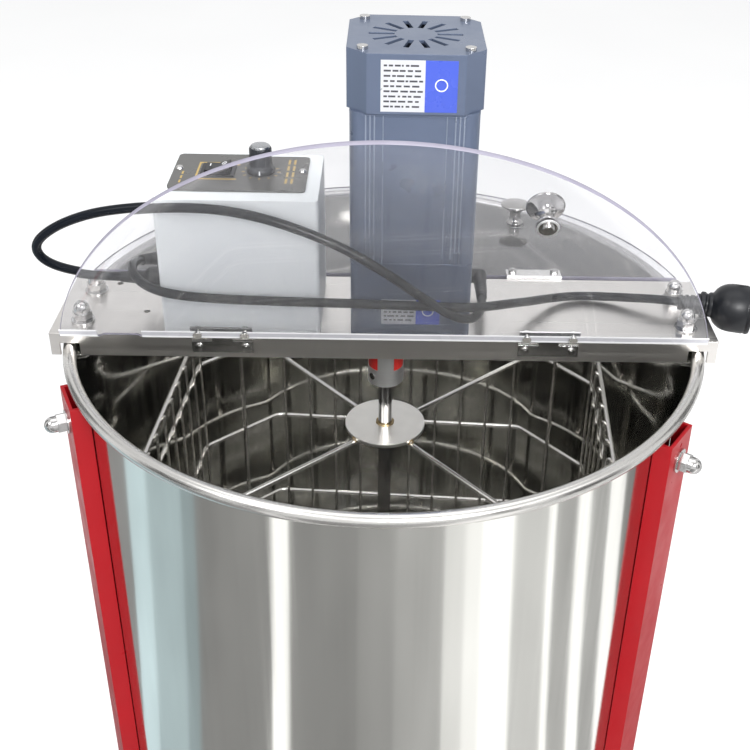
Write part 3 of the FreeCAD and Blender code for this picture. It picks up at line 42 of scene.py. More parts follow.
BASKET_TURN = -4  # how far the basket stands turned at rest, in degrees
NO_TURN = Matrix()


# ---------------------------------------------------------------- materials

class Shade:
    """One procedural material: a Principled shader with noise on its colour, roughness and bump."""

    def __init__(self, name, colour, rough, metallic=0.0, **sockets):
        self.mat = bpy.data.materials.new(name)
        self.mat.use_nodes = True
        self.tree = self.mat.node_tree
        self.shader = self.tree.nodes["Principled BSDF"]
        self.coord = self.tree.nodes.new("ShaderNodeTexCoord")
        self.set("Base Color", (*colour, 1))
        self.set("Roughness", rough)
        self.set("Metallic", metallic)
        for key, number in sockets.items():
            self.set(key.replace("_", " "), number)
        self.normal = None

    def set(self, key, number):
        self.shader.inputs[key].default_value = number

    def link(self, out, into):
        self.tree.links.new(out, into)

    def node(self, kind, **values):
        n = self.tree.nodes.new(kind)
        for key, number in values.items():
            if key in n.inputs:
                n.inputs[key].default_value = number
            else:
                setattr(n, key, number)
        return n

    def noise(self, scale, detail=3.0, stretch=(1, 1, 1), distortion=0.0):
        mapping = self.node("ShaderNodeMapping", Scale=stretch)
        self.link(self.coord.outputs["Object"], mapping.inputs["Vector"])
        n = self.node("ShaderNodeTexNoise", Scale=scale, Detail=detail, Distortion=distortion)
        self.link(mapping.outputs["Vector"], n.inputs["Vector"])
        return n.outputs["Fac"]

    def ramp(self, fac, stops):
        n = self.node("ShaderNodeValToRGB")
        ramp = n.color_ramp
        while len(ramp.elements) < len(stops):
            ramp.elements.new(0.5)
        for element, (place, colour) in zip(ramp.elements, stops):
            element.position = place
            element.color = (*colour, 1)
        self.link(fac, n.inputs["Fac"])
        return n.outputs["Color"]

    def tint(self, fac, low, high, start=0.3, end=0.7):
        """The base colour runs from low to high with a noise."""
        self.link(self.ramp(fac, [(start, low), (end, high)]), self.shader.inputs["Base Color"])

    def gloss(self, fac, low, high, start=0.3, end=0.7):
        """The roughness runs from low to high with a noise."""
        n = self.node("ShaderNodeMapRange")
        for key, number in (("From Min", start), ("From Max", end), ("To Min", low), ("To Max", high)):
            n.inputs[key].default_value = number
        self.link(fac, n.inputs["Value"])
        self.link(n.outputs["Result"], self.shader.inputs["Roughness"])

    def bump(self, fac, strength, distance):
        n = self.node("ShaderNodeBump", Strength=strength, Distance=distance)
        self.link(fac, n.inputs["Height"])
        if self.normal:
            self.link(self.normal, n.inputs["Normal"])
        self.normal = n.outputs["Normal"]
        self.link(self.normal, self.shader.inputs["Normal"])

    def round_edges(self, radius):
        """Soft edges and smooth facets on the plain CAD meshes."""
        n = self.node("ShaderNodeBevel", samples=6, Radius=radius)
        self.normal = n.outputs["Normal"]
        self.link(self.normal, self.shader.inputs["Normal"])


# how dark and how deep the grain of steel is
GRAIN_SHADE, GRAIN_DEPTH = 0.93, 0.00001


def steel(name, colour, low, high, stretch, bevel=0.0, grain=0.12):
    """Stainless steel with a fine grain along the axis that the stretch leaves small."""
    s = Shade(name, colour, low, 1.0)
    if bevel:
        s.round_edges(bevel)
    fine = s.noise(1.0, 2.0, stretch)
    broad = s.noise(1.0, 3.0, tuple(k / 4 for k in stretch))
    s.tint(broad, tuple(c * GRAIN_SHADE for c in colour), colour, 0.25, 0.75)
    s.gloss(fine, low, high)
    s.bump(fine, grain, GRAIN_DEPTH)
    return s.mat


def paint(name, colour, rough, bevel=0.0005, peel=260.0, coat=0.4, metallic=0.0, spec=0.5):
    """Enamel or powder coat with orange peel, slight fading and rubbed patches."""
    s = Shade(name, colour, rough, metallic, Coat_Weight=coat, Coat_Roughness=0.12, Specular_IOR_Level=spec)
    s.round_edges(bevel)
    broad = s.noise(14.0, 5.0, distortion=0.4)
    s.tint(broad, tuple(c * 0.94 for c in colour), tuple(min(c * 1.04, 1) for c in colour))
    s.gloss(s.noise(40.0, 4.0), rough * 0.8, rough * 1.25)
    s.bump(s.noise(peel, 2.0), 0.10, 0.0003)
    return s.mat


def moulded(name, colour, rough, bevel=0.0004, grit=900.0, depth=0.00012, spec=0.5):
    """Moulded plastic or rubber with a fine grain."""
    s = Shade(name, colour, rough, Specular_IOR_Level=spec)
    if bevel:
        s.round_edges(bevel)
    broad = s.noise(30.0, 4.0)
    s.tint(broad, tuple(c * 0.75 for c in colour), tuple(min(c * 1.2, 1) for c in colour))
    s.gloss(s.noise(120.0, 3.0), rough * 0.85, min(rough * 1.2, 1))
    s.bump(s.noise(grit, 2.0), 0.25, depth)
    return s.mat


def acrylic(name):
    """Clear acrylic with a few faint wipe marks."""
    s = Shade(name, (0.93, 0.93, 0.95), 0.0, IOR=1.49, Transmission_Weight=0.955)
    s.gloss(s.noise(6.0, 6.0, (1, 1, 4), 1.2), 0.0, 0.035, 0.45, 0.8)
    return s.mat


def acrylic_edge(name):
    """The sawn and polished edge of the sheet, which gathers light."""
    s = Shade(name, (0.33, 0.315, 0.40), 0.4)
    s.tint(s.noise(60.0, 3.0), (0.28, 0.265, 0.335), (0.33, 0.315, 0.39))
    s.bump(s.noise(500.0, 2.0, (1, 1, 1)), 0.2, 0.0001)
    return s.mat


# stretches of the noise that makes the grain
ALONG_X = (3, 260, 260)
ALONG_Z = (260, 260, 2)
EVEN = (300, 300, 300)

M = {
    "drum": steel("drum_steel_mirror", (0.76, 0.755, 0.715), low=0.07, high=0.13, stretch=ALONG_Z,
                  grain=0.06),
    "bead": steel("bead_steel_brushed", (0.74, 0.725, 0.70), low=0.20, high=0.30, stretch=(40, 40, 900),
                  grain=0.05),
    "floor_steel": steel("drum_floor_steel", (0.70, 0.69, 0.67), low=0.14, high=0.22, stretch=EVEN,
                         grain=0.03),
    "tray": steel("tray_steel_brushed", (0.94, 0.91, 0.875), low=0.27, high=0.36, stretch=ALONG_X,
                  bevel=0.0006, grain=0.03),
    "leaf": steel("leaf_steel", (0.86, 0.85, 0.84), low=0.16, high=0.26, stretch=ALONG_X, bevel=0.0003,
                  grain=0.03),
    "chrome": steel("fastener_steel_bright", (0.66, 0.65, 0.64), low=0.12, high=0.2, stretch=EVEN,
                    bevel=0.0004, grain=0.03),
    "wire": steel("basket_wire_steel", (0.90, 0.88, 0.85), low=0.16, high=0.24, stretch=EVEN, grain=0.02),
    "shaft": steel("ground_shaft_steel", (0.66, 0.65, 0.65), low=0.12, high=0.22, stretch=(500, 500, 60),
                   bevel=0.0003),
    "hub_disc": steel("hub_disc_steel", (0.96, 0.94, 0.89), low=0.30, high=0.38, stretch=EVEN, bevel=0.0004,
                      grain=0.015),
    "knob_chrome": steel("lid_knob_chrome", (0.56, 0.55, 0.54), low=0.07, high=0.10, stretch=EVEN,
                         grain=0.01),
    "alu": steel("machined_aluminium", (0.97, 0.97, 0.97), low=0.42, high=0.5, stretch=(80, 80, 1500),
                 bevel=0.0004, grain=0.04),
    "alu_cap": steel("spun_knob_cap", (0.50, 0.51, 0.53), low=0.16, high=0.3, stretch=EVEN),
    "brass": steel("sintered_bush", (0.72, 0.52, 0.24), low=0.3, high=0.45, stretch=EVEN, bevel=0.0003),
    "iron": steel("stator_iron", (0.30, 0.28, 0.27), low=0.4, high=0.6, stretch=(50, 50, 2000),
                  bevel=0.0003),
    "red": paint("red_enamel", (0.35, 0.003, 0.008), rough=0.34, bevel=0.0008, peel=180.0, coat=0.06,
                 spec=0.25),
    "motor": paint("motor_slate_blue", (0.110, 0.140, 0.212), rough=0.32, bevel=0.0006, peel=300.0,
                   coat=0.2, metallic=0.25),
    "box": paint("box_powder_coat", (0.93, 0.965, 0.975), rough=0.40, bevel=0.0008, peel=220.0, coat=0.1),
    "plate": paint("control_plate_grey", (0.105, 0.103, 0.098), rough=0.30, bevel=0.0004, peel=500.0,
                   coat=0.15, metallic=0.2),
    "gold": paint("gold_print", (0.66, 0.47, 0.16), rough=0.35, bevel=0.0001, peel=600.0, coat=0.1,
                  metallic=0.6),
    "label": paint("label_silver", (0.70, 0.71, 0.74), rough=0.32, bevel=0.0001, peel=500.0, coat=0.2,
                   metallic=0.4),
    "label_blue": paint("label_blue", (0.055, 0.10, 0.55), rough=0.30, bevel=0.0001, peel=500.0, coat=0.3),
    "ink": paint("label_ink", (0.06, 0.06, 0.07), rough=0.5, bevel=0.0001, peel=500.0, coat=0.0),
    "white": paint("white_print", (0.85, 0.86, 0.88), rough=0.45, bevel=0.0001, peel=500.0, coat=0.0),
    "black": moulded("black_plastic", (0.018, 0.018, 0.021), rough=0.34),
    "knob": moulded("knob_black", (0.022, 0.024, 0.03), rough=0.22, bevel=0.0),
    "cord": moulded("cord_rubber", (0.006, 0.008, 0.012), rough=0.20, bevel=0.0, grit=1500.0, depth=0.00001,
                    spec=0.2),
    "plug": moulded("plug_rubber", (0.010, 0.011, 0.014), rough=0.34, bevel=0.0, grit=1100.0, depth=0.00004,
                    spec=0.4),
    "gland": moulded("gland_nylon", (0.016, 0.017, 0.020), rough=0.4),
    "gate": moulded("gate_plastic", (0.60, 0.57, 0.49), rough=0.34, bevel=0.0008, grit=500.0),
    "gasket": moulded("gasket_silicone", (0.42, 0.38, 0.32), rough=0.5, bevel=0.0003, grit=800.0),
    "spider": moulded("spider_red", (0.62, 0.035, 0.03), rough=0.38),
    "board": moulded("board_green", (0.06, 0.22, 0.10), rough=0.4, bevel=0.0003, grit=700.0),
    "weld": steel("heat_tinted_weld", (0.56, 0.43, 0.25), low=0.28, high=0.5, stretch=EVEN),
    "acrylic": acrylic("clear_acrylic"),
    "acrylic_edge": acrylic_edge("acrylic_edge"),
    # painted highlight and painted reflection: bright lines and a grey band drawn on the front lid's clear
    # face near its lower edge, for the light that the thick edge gathers
    "painted_edge_highlight": paint("lid_edge_painted_highlight", (0.93, 0.93, 0.95), rough=0.25, bevel=0.0001, peel=500.0,
                       coat=0.2),
    "painted_edge_reflection": paint("lid_edge_painted_reflection_grey", (0.56, 0.56, 0.60), rough=0.25, bevel=0.0001, peel=500.0,
                       coat=0.2),
    # painted highlight: a lighter, more metallic copy of the motor paint, drawn on the ridges where their
    # crests catch the light
    "motor_ridge_highlight": paint("motor_ridge_painted_highlight", (0.26, 0.30, 0.38), rough=0.28, bevel=0.0001, peel=500.0,
                        coat=0.2, metallic=0.4),
}

NODE_MATERIALS = {
    "drum": ["drum_shell"],
    "floor_steel": ["drum_floor", "bearing_cup"],
    "tray": ["bridge_tray"],
    "leaf": ["hinge_leaves", "front_lid_leaves", "rear_lid_leaves"],
    "chrome": ["leg_bolts", "cap_nuts", "washers", "hook_bolts", "gearbox_screws", "fan_cover_screws",
               "plate_screws", "leaf_screws", "front_lid_screws", "rear_lid_screws", "hinge_pins",
               "bearing_ball", "gate_studs", "gate_wing_nut"],
    "wire": ["basket_rings", "basket_wires", "basket_spokes"],
    "shaft": ["basket_shaft", "output_gear", "motor_rotor"],
    "hub_disc": ["hub_discs"],
    "alu": ["lower_jaw_hub", "upper_jaw_hub"],
    "brass": ["output_bushing"],
    "iron": ["stator"],
    "red": ["leg_left", "leg_right", "leg_rear"],
    "motor": ["gearbox_case", "motor_housing", "fan_cover"],
    "box": ["control_box"],
    "plate": ["control_plate"],
    "black": ["switch_body", "power_rocker", "speed_pot", "cooling_fan"],
    "gland": ["cable_glands", "motor_boot"],
    "gate": ["gate_spout", "gate_flap"],
    "gasket": ["gate_gasket"],
    "spider": ["jaw_spider"],
    "board": ["circuit_board"],
    "knob": ["speed_knob"],
    "knob_chrome": ["front_lid_knob", "rear_lid_knob"],
    "acrylic": ["front_lid", "rear_lid"],
    "cord": ["motor_lead", "power_cord"],
    "plug": ["power_plug"],
}
for key, names in NODE_MATERIALS.items():
    for name in names:
        for material_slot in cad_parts[name].material_slots:
            material_slot.link = "OBJECT"
            material_slot.material = M[key]


# ---------------------------------------------------------------- geometry helpers

def add(name, verts, faces, material, body, smooth=True, sharp=None):
    """A mesh piece from vertices in metres, riding on a CAD body."""
    mesh = bpy.data.meshes.new(name)
    mesh.from_pydata([tuple(v) for v in verts], [], faces)
    mesh.validate()
    mesh.materials.append(M[material])
    obj = bpy.data.objects.new(name, mesh)
    bpy.context.scene.collection.objects.link(obj)
    bm = bmesh.new()
    bm.from_mesh(mesh)
    bmesh.ops.recalc_face_normals(bm, faces=bm.faces)
    bm.to_mesh(mesh)
    bm.free()
    if smooth:
        mesh.shade_smooth()
        if sharp:
            mesh.set_sharp_from_angle(angle=math.radians(sharp))
    if body:
        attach(obj, body)
    return obj


def around(count):
    """Angles that divide a full turn evenly."""
    return [2 * math.pi * i / count for i in range(count)]


def lathe(name, profile, place, material, body, segments=96, sharp=35, closed=False):
    """Turns (radius, height) pairs in millimetres about the Z axis of the matrix place."""
    verts, faces, rings = [], [], []
    for radius, height in profile:
        if radius < 1e-6:
            rings.append([len(verts)])
            verts.append(place @ Vector((0, 0, height * MM)))
            continue
        rings.append(list(range(len(verts), len(verts) + segments)))
        for a in around(segments):
            verts.append(place @ (Vector((radius * math.cos(a), radius * math.sin(a), height)) * MM))
    pairs = list(zip(rings, rings[1:]))
    if closed:
        pairs.append((rings[-1], rings[0]))
    for low, high in pairs:
        for i in range(segments):
            j = (i + 1) % segments
            a, b = low[i % len(low)], low[j % len(low)]
            c, d = high[j % len(high)], high[i % len(high)]
            face = [v for k, v in enumerate((a, b, c, d)) if v not in (a, b, c, d)[:k]]
            if len(face) > 2:
                faces.append(face)
    return add(name, verts, faces, material, body, True, sharp)


def frames_along(points):
    """A pair of cross directions at each point of a line, without twist."""
    tangents = []
    for i in range(len(points)):
        ahead = points[min(i + 1, len(points) - 1)] - points[max(i - 1, 0)]
        tangents.append(ahead.normalized())
    side = tangents[0].orthogonal().normalized()
    result = []
    for t in tangents:
        side = (side - t * side.dot(t)).normalized()
        result.append((side, t.cross(side)))
    return result


def sweep(name, points, radii, material, body, sides=16, closed=False):
    """A round tube through points in metres, with a radius in metres for each."""
    crosses = frames_along(points)
    verts, faces = [], []
    for p, r, (u, v) in zip(points, radii, crosses):
        verts += [p + (u * math.cos(a) + v * math.sin(a)) * r for a in around(sides)]
    count = len(points)
    for i in range(count if closed else count - 1):
        j = (i + 1) % count
        for k in range(sides):
            m = (k + 1) % sides
            faces.append((i * sides + k, i * sides + m, j * sides + m, j * sides + k))
    if not closed:
        faces.append(tuple(range(sides - 1, -1, -1)))
        faces.append(tuple(range((count - 1) * sides, count * sides)))
    return add(name, verts, faces, material, body, True, 50)


def block_faces(first):
    """The six faces of a block: four corners round one end from first on, then four round the other."""
    quads = ((3, 2, 1, 0), (4, 5, 6, 7), (0, 1, 5, 4), (1, 2, 6, 5), (2, 3, 7, 6), (3, 0, 4, 7))
    return [tuple(first + k for k in quad) for quad in quads]


def boxes(name, corners, material, body, bevel=0.0, place=None):
    """Several small blocks in one piece, each given by its low and high corners in millimetres."""
    if place is None:
        place = at(0, 0, 0)
    verts, faces = [], []
    for (x0, y0, z0), (x1, y1, z1) in corners:
        faces += block_faces(len(verts))
        for z in (z0, z1):
            for x, y in ((x0, y0), (x1, y0), (x1, y1), (x0, y1)):
                verts.append(place @ (Vector((x, y, z)) * MM))
    obj = add(name, verts, faces, material, None, False)
    if bevel:
        rounded = obj.modifiers.new("round", "BEVEL")
        rounded.width, rounded.segments = bevel * MM, 2
    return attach(obj, body)


def at(x, y, z, turned=NO_TURN):
    """A matrix at a point given in millimetres from the drum's axis and the rim."""
    return Matrix.Translation((x * MM, y * MM, RIM + z * MM)) @ turned


def shift(x, y, z):
    return Matrix.Translation((x * MM, y * MM, z * MM))


def turn(axis, degrees):
    return Matrix.Rotation(math.radians(degrees), 4, axis)


# ---------------------------------------------------------------- camera

FOCAL, IMAGE_SIDE, SENSOR = 1135.32, 750, 36
PITCH, YAW, ROLL = math.radians(30.596), math.radians(1.586), math.radians(1.603)
CAMERA_PLACE = (0.000665, -0.786656, RIM + 0.459166)


def make_camera():
    """The studio camera, a little above the rim in front, looking down into the drum."""
    forward = Vector((math.sin(YAW) * math.cos(PITCH), math.cos(YAW) * math.cos(PITCH), -math.sin(PITCH)))
    level = Vector((math.cos(YAW), -math.sin(YAW), 0))
    down = forward.cross(level)
    right = math.cos(ROLL) * level - math.sin(ROLL) * down
    low = math.sin(ROLL) * level + math.cos(ROLL) * down
    data = bpy.data.cameras.new("camera")
    data.sensor_width = SENSOR
    data.lens = FOCAL / IMAGE_SIDE * SENSOR
    data.shift_x, data.shift_y = -0.0522, -0.0635
    data.clip_end = 50
    camera = bpy.data.objects.new("camera", data)
    heading = Matrix((right, -low, -forward)).transposed().to_4x4()
    camera.matrix_world = Matrix.Translation(CAMERA_PLACE) @ heading
    bpy.context.scene.collection.objects.link(camera)
    bpy.context.scene.camera = camera


make_camera()


# ---------------------------------------------------------------- cords and plug

# the points of the cords' routes: x, y, and height above the rim, in millimetres
MOTOR_LEAD = [
    (-184, -12.5, 44.5), (-207, -12.5, 44.5), (-236, -18, 49.5), (-257, -26, 62), (-261, -32, 79),
    (-243, -38, 96.5), (-215, -43, 110), (-186, -47, 116.8), (-155, -48.5, 120), (-125, -49, 119.8),
    (-96, -49.5, 115.3), (-67, -50.5, 106.7), (-33, -53, 93.2), (-1, -56.5, 74.7), (28, -59.5, 54.5),
    (50, -57.8, 38.8), (64, -50, 32.4), (72, -33, 30), (74.5, -12.5, 29.6), (74.5, 8, 29.6)]
POWER_CORD = [
    (-177, 17, 45.5), (-187, 17, 45.5), (-194, 4.5, 49.6), (-194, -13.5, 56), (-190, -31.5, 58.2),
    (-181, -43, 55.2), (-166, -48.4, 51.2), (-146, -49.6, 48.6), (-115, -49.8, 46.8), (-75, -49.9, 45.8),
    (-34, -49.7, 45), (8, -49.2, 43.6), (40, -49, 42.6), (62, -49.6, 42.5), (78, -44.5, 41.3),
    (95, -29.5, 35.5), (112, -10.5, 27), (130, 7, 20.3), (151, 16, 17.8), (175, 14.8, 18.4),
    (198, 7.2, 21.6), (217, -0.36, 24.96), (230.6, -3.5, 24.6)]
CORD_RADIUS = 0.0035


def make_cord(name, route):
    """A cord as a smooth curve, with the points of its middle line for the pieces on it."""
    curve = bpy.data.curves.new(name, "CURVE")
    curve.dimensions = "3D"
    curve.resolution_u = 24
    curve.use_fill_caps = True
    spline = curve.splines.new("NURBS")
    spline.points.add(len(route) - 1)
    for point, (x, y, z) in zip(spline.points, route):
        point.co = (x * MM, y * MM, RIM + z * MM, 1)
    spline.use_endpoint_u = True
    spline.order_u = 3
    obj = bpy.data.objects.new(name + "_cable", curve)
    bpy.context.scene.collection.objects.link(obj)
    line = [v.co.copy() for v in bpy.data.meshes.new_from_object(obj).vertices]
    curve.bevel_depth = CORD_RADIUS
    curve.bevel_resolution = 6
    curve.materials.append(M["cord"])
    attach(obj, "stand")
    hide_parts(name)
    return obj, line


def stretch_of(line, length):
    """The points of a line within a length of its start."""
    result, gone = [line[0]], 0.0
    for a, b in zip(line, line[1:]):
        gone += (b - a).length
        if gone > length:
            break
        result.append(b)
    return result


RELIEF_LENGTH, RELIEF_GROOVE, RELIEF_RIBS = 0.020, 0.0005, 4


def make_relief(name, line, root, tip):
    """A tapered sleeve round the start of a cord, with grooves that let it bend."""
    points = stretch_of(line, RELIEF_LENGTH)
    radii = []
    for i in range(len(points)):
        share = i / (len(points) - 1)
        groove = RELIEF_GROOVE * (0.5 - 0.5 * math.cos(2 * math.pi * RELIEF_RIBS * share))
        radii.append(root + (tip - root) * share - groove * (1 - share))
    return sweep(name, points, radii, "gland", "stand", 24)


lead, lead_line = make_cord("motor_lead", MOTOR_LEAD)
mains, mains_line = make_cord("power_cord", POWER_CORD)
lead_relief = make_relief("lead_relief", lead_line, 0.0056, 0.0041)
lead_end_relief = make_relief("lead_end_relief", lead_line[::-1], 0.0050, 0.0040)
mains_relief = make_relief("mains_relief", mains_line, 0.0056, 0.0041)

# radius and height of the plug's turned shapes, from the cord's end outwards
PLUG_PROFILE = [
    (0, 0), (5.2, 0), (6.0, 0.6), (6.2, 3), (5.6, 3.4), (5.6, 4.6), (6.6, 5), (6.7, 7.4), (6.0, 7.8),
    (6.0, 9), (7.0, 9.4), (7.2, 12), (6.5, 12.4), (6.5, 13.6), (7.5, 14), (7.6, 17), (9.2, 17.6),
    (9.6, 18.4), (9.6, 20.6), (9.0, 21.3), (8.4, 22), (8.4, 23), (9.2, 23.6), (9.8, 24.6), (9.8, 26.4),
    (10.8, 27.4), (13.4, 29), (15.6, 31.4), (17.2, 34), (18.3, 37), (18.8, 40), (19, 43), (19, 52),
    (18.6, 52.6), (18.6, 53.4), (19, 54), (19, 55.6), (18.4, 56.8), (17.2, 57), (0, 57)]
PIN_PROFILE = [(0, 57), (2.6, 57), (2.6, 58), (2.1, 58.4), (2.1, 66), (2.4, 66.6), (2.4, 74.6), (1.9, 75.6),
               (1, 76), (0, 76)]
PIN_OFFSET = 9.5
RIB_COUNT, RIB_REACH, RIB_ENDS = 14, 18.75, (42.6, 51.4)
RIB_SECTION = ((-0.6, -1.1), (0.22, -0.8), (0.22, 0.8), (-0.6, 1.1))


def make_plug():
    """The round mains plug at the cord's end, with grip ribs and two pins."""
    place = at(*POWER_CORD[-1], turn("Z", -13) @ turn("Y", 1.5) @ turn("Y", 90))
    plug = lathe("plug_body", PLUG_PROFILE, place, "plug", "stand", 72, 40)
    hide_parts("power_plug")
    pins = []
    for i, offset in enumerate((-PIN_OFFSET, PIN_OFFSET)):
        pins.append(lathe("plug_pin_%d" % i, PIN_PROFILE, place @ shift(0, offset, 0), "chrome", "stand",
                          24, 40))
    verts, faces = [], []
    for a in around(RIB_COUNT):
        rib = place @ turn("Z", math.degrees(a)) @ shift(RIB_REACH, 0, 0)
        faces += block_faces(len(verts))
        verts += [rib @ (Vector((x, y, z)) * MM) for z in RIB_ENDS for x, y in RIB_SECTION]
    grip = add("plug_grip_ribs", verts, faces, "plug", "stand", False)
    return [plug, grip] + pins


plug_pieces = make_plug()


# ---------------------------------------------------------------- drum

DRUM_INSIDE, DRUM_OUTSIDE, DRUM_DEPTH = 239.8, 241, 640
BEAD_CENTRE, BEAD_RADIUS = 245, 5
SEAM_AZIMUTH = 96


def bead_arc(centre, radius, start, end, steps):
    """Points of a circle of the bead's section, as (radius, height) pairs."""
    angles = [math.radians(start + (end - start) * i / steps) for i in range(steps + 1)]
    return [(centre + radius * math.cos(a), radius * math.sin(a)) for a in angles]


def make_drum():
    """The rolled wall with its hollow bead. The gate's hole isn't cut, because the spout covers it."""
    inside, outside, foot = DRUM_INSIDE, DRUM_OUTSIDE, -DRUM_DEPTH
    profile = [(inside, foot), (240.4, foot - 0.3), (outside, foot), (outside, -602), (outside + 0.35, -600),
               (outside, -598), (outside, -4.2)]
    profile += bead_arc(BEAD_CENTRE, BEAD_RADIUS, -143, 178, 40)
    profile += [(inside, -1.4), (inside, -300)]
    wall = lathe("drum_wall", profile, at(0, 0, 0), "drum", "stand", 288, 40, True)
    wall.data.materials.append(M["bead"])
    for polygon in wall.data.polygons:
        on_bead = polygon.center.z > RIM - 5.5 * MM and polygon.center.xy.length > 240.5 * MM
        polygon.material_index = 1 if on_bead else 0
    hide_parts("drum_shell")


def make_seam():
    """The welded seam that closes the rolled wall."""
    a = math.radians(SEAM_AZIMUTH)
    x, y = 240.9 * math.cos(a), 240.9 * math.sin(a)
    seam = [at(x, y, -6 - 10 * i).translation for i in range(60)]
    wobble = random.Random(4)
    radii = [0.0006 + 0.0002 * wobble.random() for _ in seam]
    sweep("drum_seam", seam, radii, "floor_steel", "stand", 8)


make_drum()
make_seam()


# ---------------------------------------------------------------- basket

# how far each hoop is below the rim, and half the basket's width and the flat part of its sides
RING_DROPS = (99, 134, 231, 331, 431, 511, 546)
HALF, FLAT = 189, 126
HOOP_RADIUS, HOOP_CORNER = 0.0022, 0.016
WIRE_PITCH, WIRES_PER_SIDE = 26, 10


def rounded_loop(corners, radius, steps):
    """A closed line through corners with an arc at each."""
    line = []
    for before, corner, after in zip(corners[-1:] + corners[:-1], corners, corners[1:] + corners[:1]):
        back, ahead = (before - corner).normalized(), (after - corner).normalized()
        half = back.angle(ahead) / 2
        reach = radius / math.tan(half)
        centre = corner + (back + ahead).normalized() * (radius / math.sin(half))
        start, end = corner + back * reach - centre, corner + ahead * reach - centre
        sweep_angle = start.angle(end)
        for i in range(steps + 1):
            share = sweep_angle * i / steps
            arm = start * math.sin(sweep_angle - share) + end * math.sin(share)
            line.append(centre + arm / math.sin(sweep_angle))
    return line


def make_rings():
    """Seven bent hoops with rounded corners."""
    corners = [turn("Z", 90 * quarter + BASKET_TURN) @ Vector((HALF * MM, y * MM, 0))
               for quarter in range(4) for y in (-FLAT, FLAT)]
    flat = rounded_loop(corners, HOOP_CORNER, 8)
    for i, drop in enumerate(RING_DROPS):
        line = [p + Vector((0, 0, RIM - drop * MM)) for p in flat]
        sweep("basket_hoop_%d" % i, line, [HOOP_RADIUS] * len(line), "wire", "basket_body",
                           14, True)
    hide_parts("basket_rings")


def weld_bead(name, place, ring, thick, seed):
    """A lumpy fillet weld round a joint."""
    wobble = random.Random(seed)
    points = [place @ (Vector((ring * math.cos(a), ring * math.sin(a), 0)) * MM) for a in around(40)]
    radii = [thick * MM * (0.8 + 0.4 * wobble.random()) for _ in points]
    sweep(name, points, radii, "weld", "basket_body", 8, True)


def ball(first, middle, half, columns=10, rows=5):
    """Vertices and faces of a small rounded blob, flat at its two poles."""
    verts, faces = [], []
    for row in range(rows + 1):
        tall = math.pi * (0.04 + 0.92 * row / rows)
        for a in around(columns):
            reach = Vector((math.sin(tall) * math.cos(a), math.sin(tall) * math.sin(a), -math.cos(tall)))
            verts.append(middle + reach * half)
    for low in range(first, first + rows * columns, columns):
        for k in range(columns):
            j = (k + 1) % columns
            faces.append((low + k, low + j, low + columns + j, low + columns + k))
    faces.append(tuple(range(first + columns - 1, first - 1, -1)))
    faces.append(tuple(range(first + rows * columns, first + (rows + 1) * columns)))
    return verts, faces


def make_weld_spots():
    """Spot welds where the upright wires cross the two highest hoops."""
    verts, faces = [], []
    for quarter in range(4):
        place = turn("Z", 90 * quarter + BASKET_TURN)
        for drop in RING_DROPS[:2]:
            for i in range(WIRES_PER_SIDE):
                along = (i - (WIRES_PER_SIDE - 1) / 2) * WIRE_PITCH
                middle = Vector((HALF - 3, along, RIM / MM - drop))
                spot, sides = ball(len(verts), middle, Vector((2.3, 1.9, 2.7)))
                verts += [place @ (v * MM) for v in spot]
                faces += sides
    add("basket_weld_spots", verts, faces, "wire", "basket_body")


def make_basket_details():
    """Welds round the hub and the spokes, and grub screws in the coupling's two hubs."""
    weld_bead("hub_weld", at(0, 0, -98.8), 6.6, 1.2, 1)
    weld_bead("lower_hub_weld", at(0, 0, -548.1), 6.6, 1.2, 2)
    for quarter in range(4):
        spoke = turn("Z", 45 + 90 * quarter + BASKET_TURN)
        place = at(0, 0, -102.3, spoke) @ shift(33, 0, 0) @ turn("Y", 90)
        weld_bead("spoke_weld_%d" % quarter, place, 2.2, 0.9, 10 + quarter)
    screw = [(0, 0.4), (3.0, 0.4), (3.2, 0.0), (3.2, -3.4), (2.8, -4), (0, -4)]
    for i, z in enumerate((-47.5, -19)):
        for k in range(2):
            place = at(0, 0, z, turn("Z", 40 + 180 * k + 15 * i)) @ shift(14.2, 0, 0) @ turn("Y", 90)
            lathe("hub_grub_screw_%d_%d" % (i, k), screw, place, "chrome", "basket_body", 20)


make_rings()
make_weld_spots()
make_basket_details()


# ---------------------------------------------------------------- lids

HINGE_Y, HINGE_RISE = 52.6, 14.5
LID_RADIUS, LID_EDGE, LID_THICK = 250, 3.2, 4
# each lid's hinge line, tilt at rest, lower and upper face, and body
LIDS = {"front": (-HINGE_Y, turn("X", 110), (0, LID_THICK), "front_lid_body"),
        "rear": (HINGE_Y, turn("X", -1.5), (-LID_THICK, 0), "rear_lid_body")}


def lid_outline(which):
    """The half disc's edge. The front one has a notch in its straight side."""
    notch = [(-214, LID_EDGE), (-211, LID_EDGE + 2), (-186, LID_EDGE + 2), (-183, LID_EDGE)]
    half = math.sqrt(LID_RADIUS ** 2 - (LID_EDGE + HINGE_Y) ** 2)
    start = math.atan2(LID_EDGE + HINGE_Y, half)
    steps = 160
    arc = []
    for i in range(steps + 1):
        a = start + (math.pi - 2 * start) * i / steps
        arc.append((LID_RADIUS * math.cos(a), LID_RADIUS * math.sin(a) - HINGE_Y))
    return notch + arc if which == "front" else arc


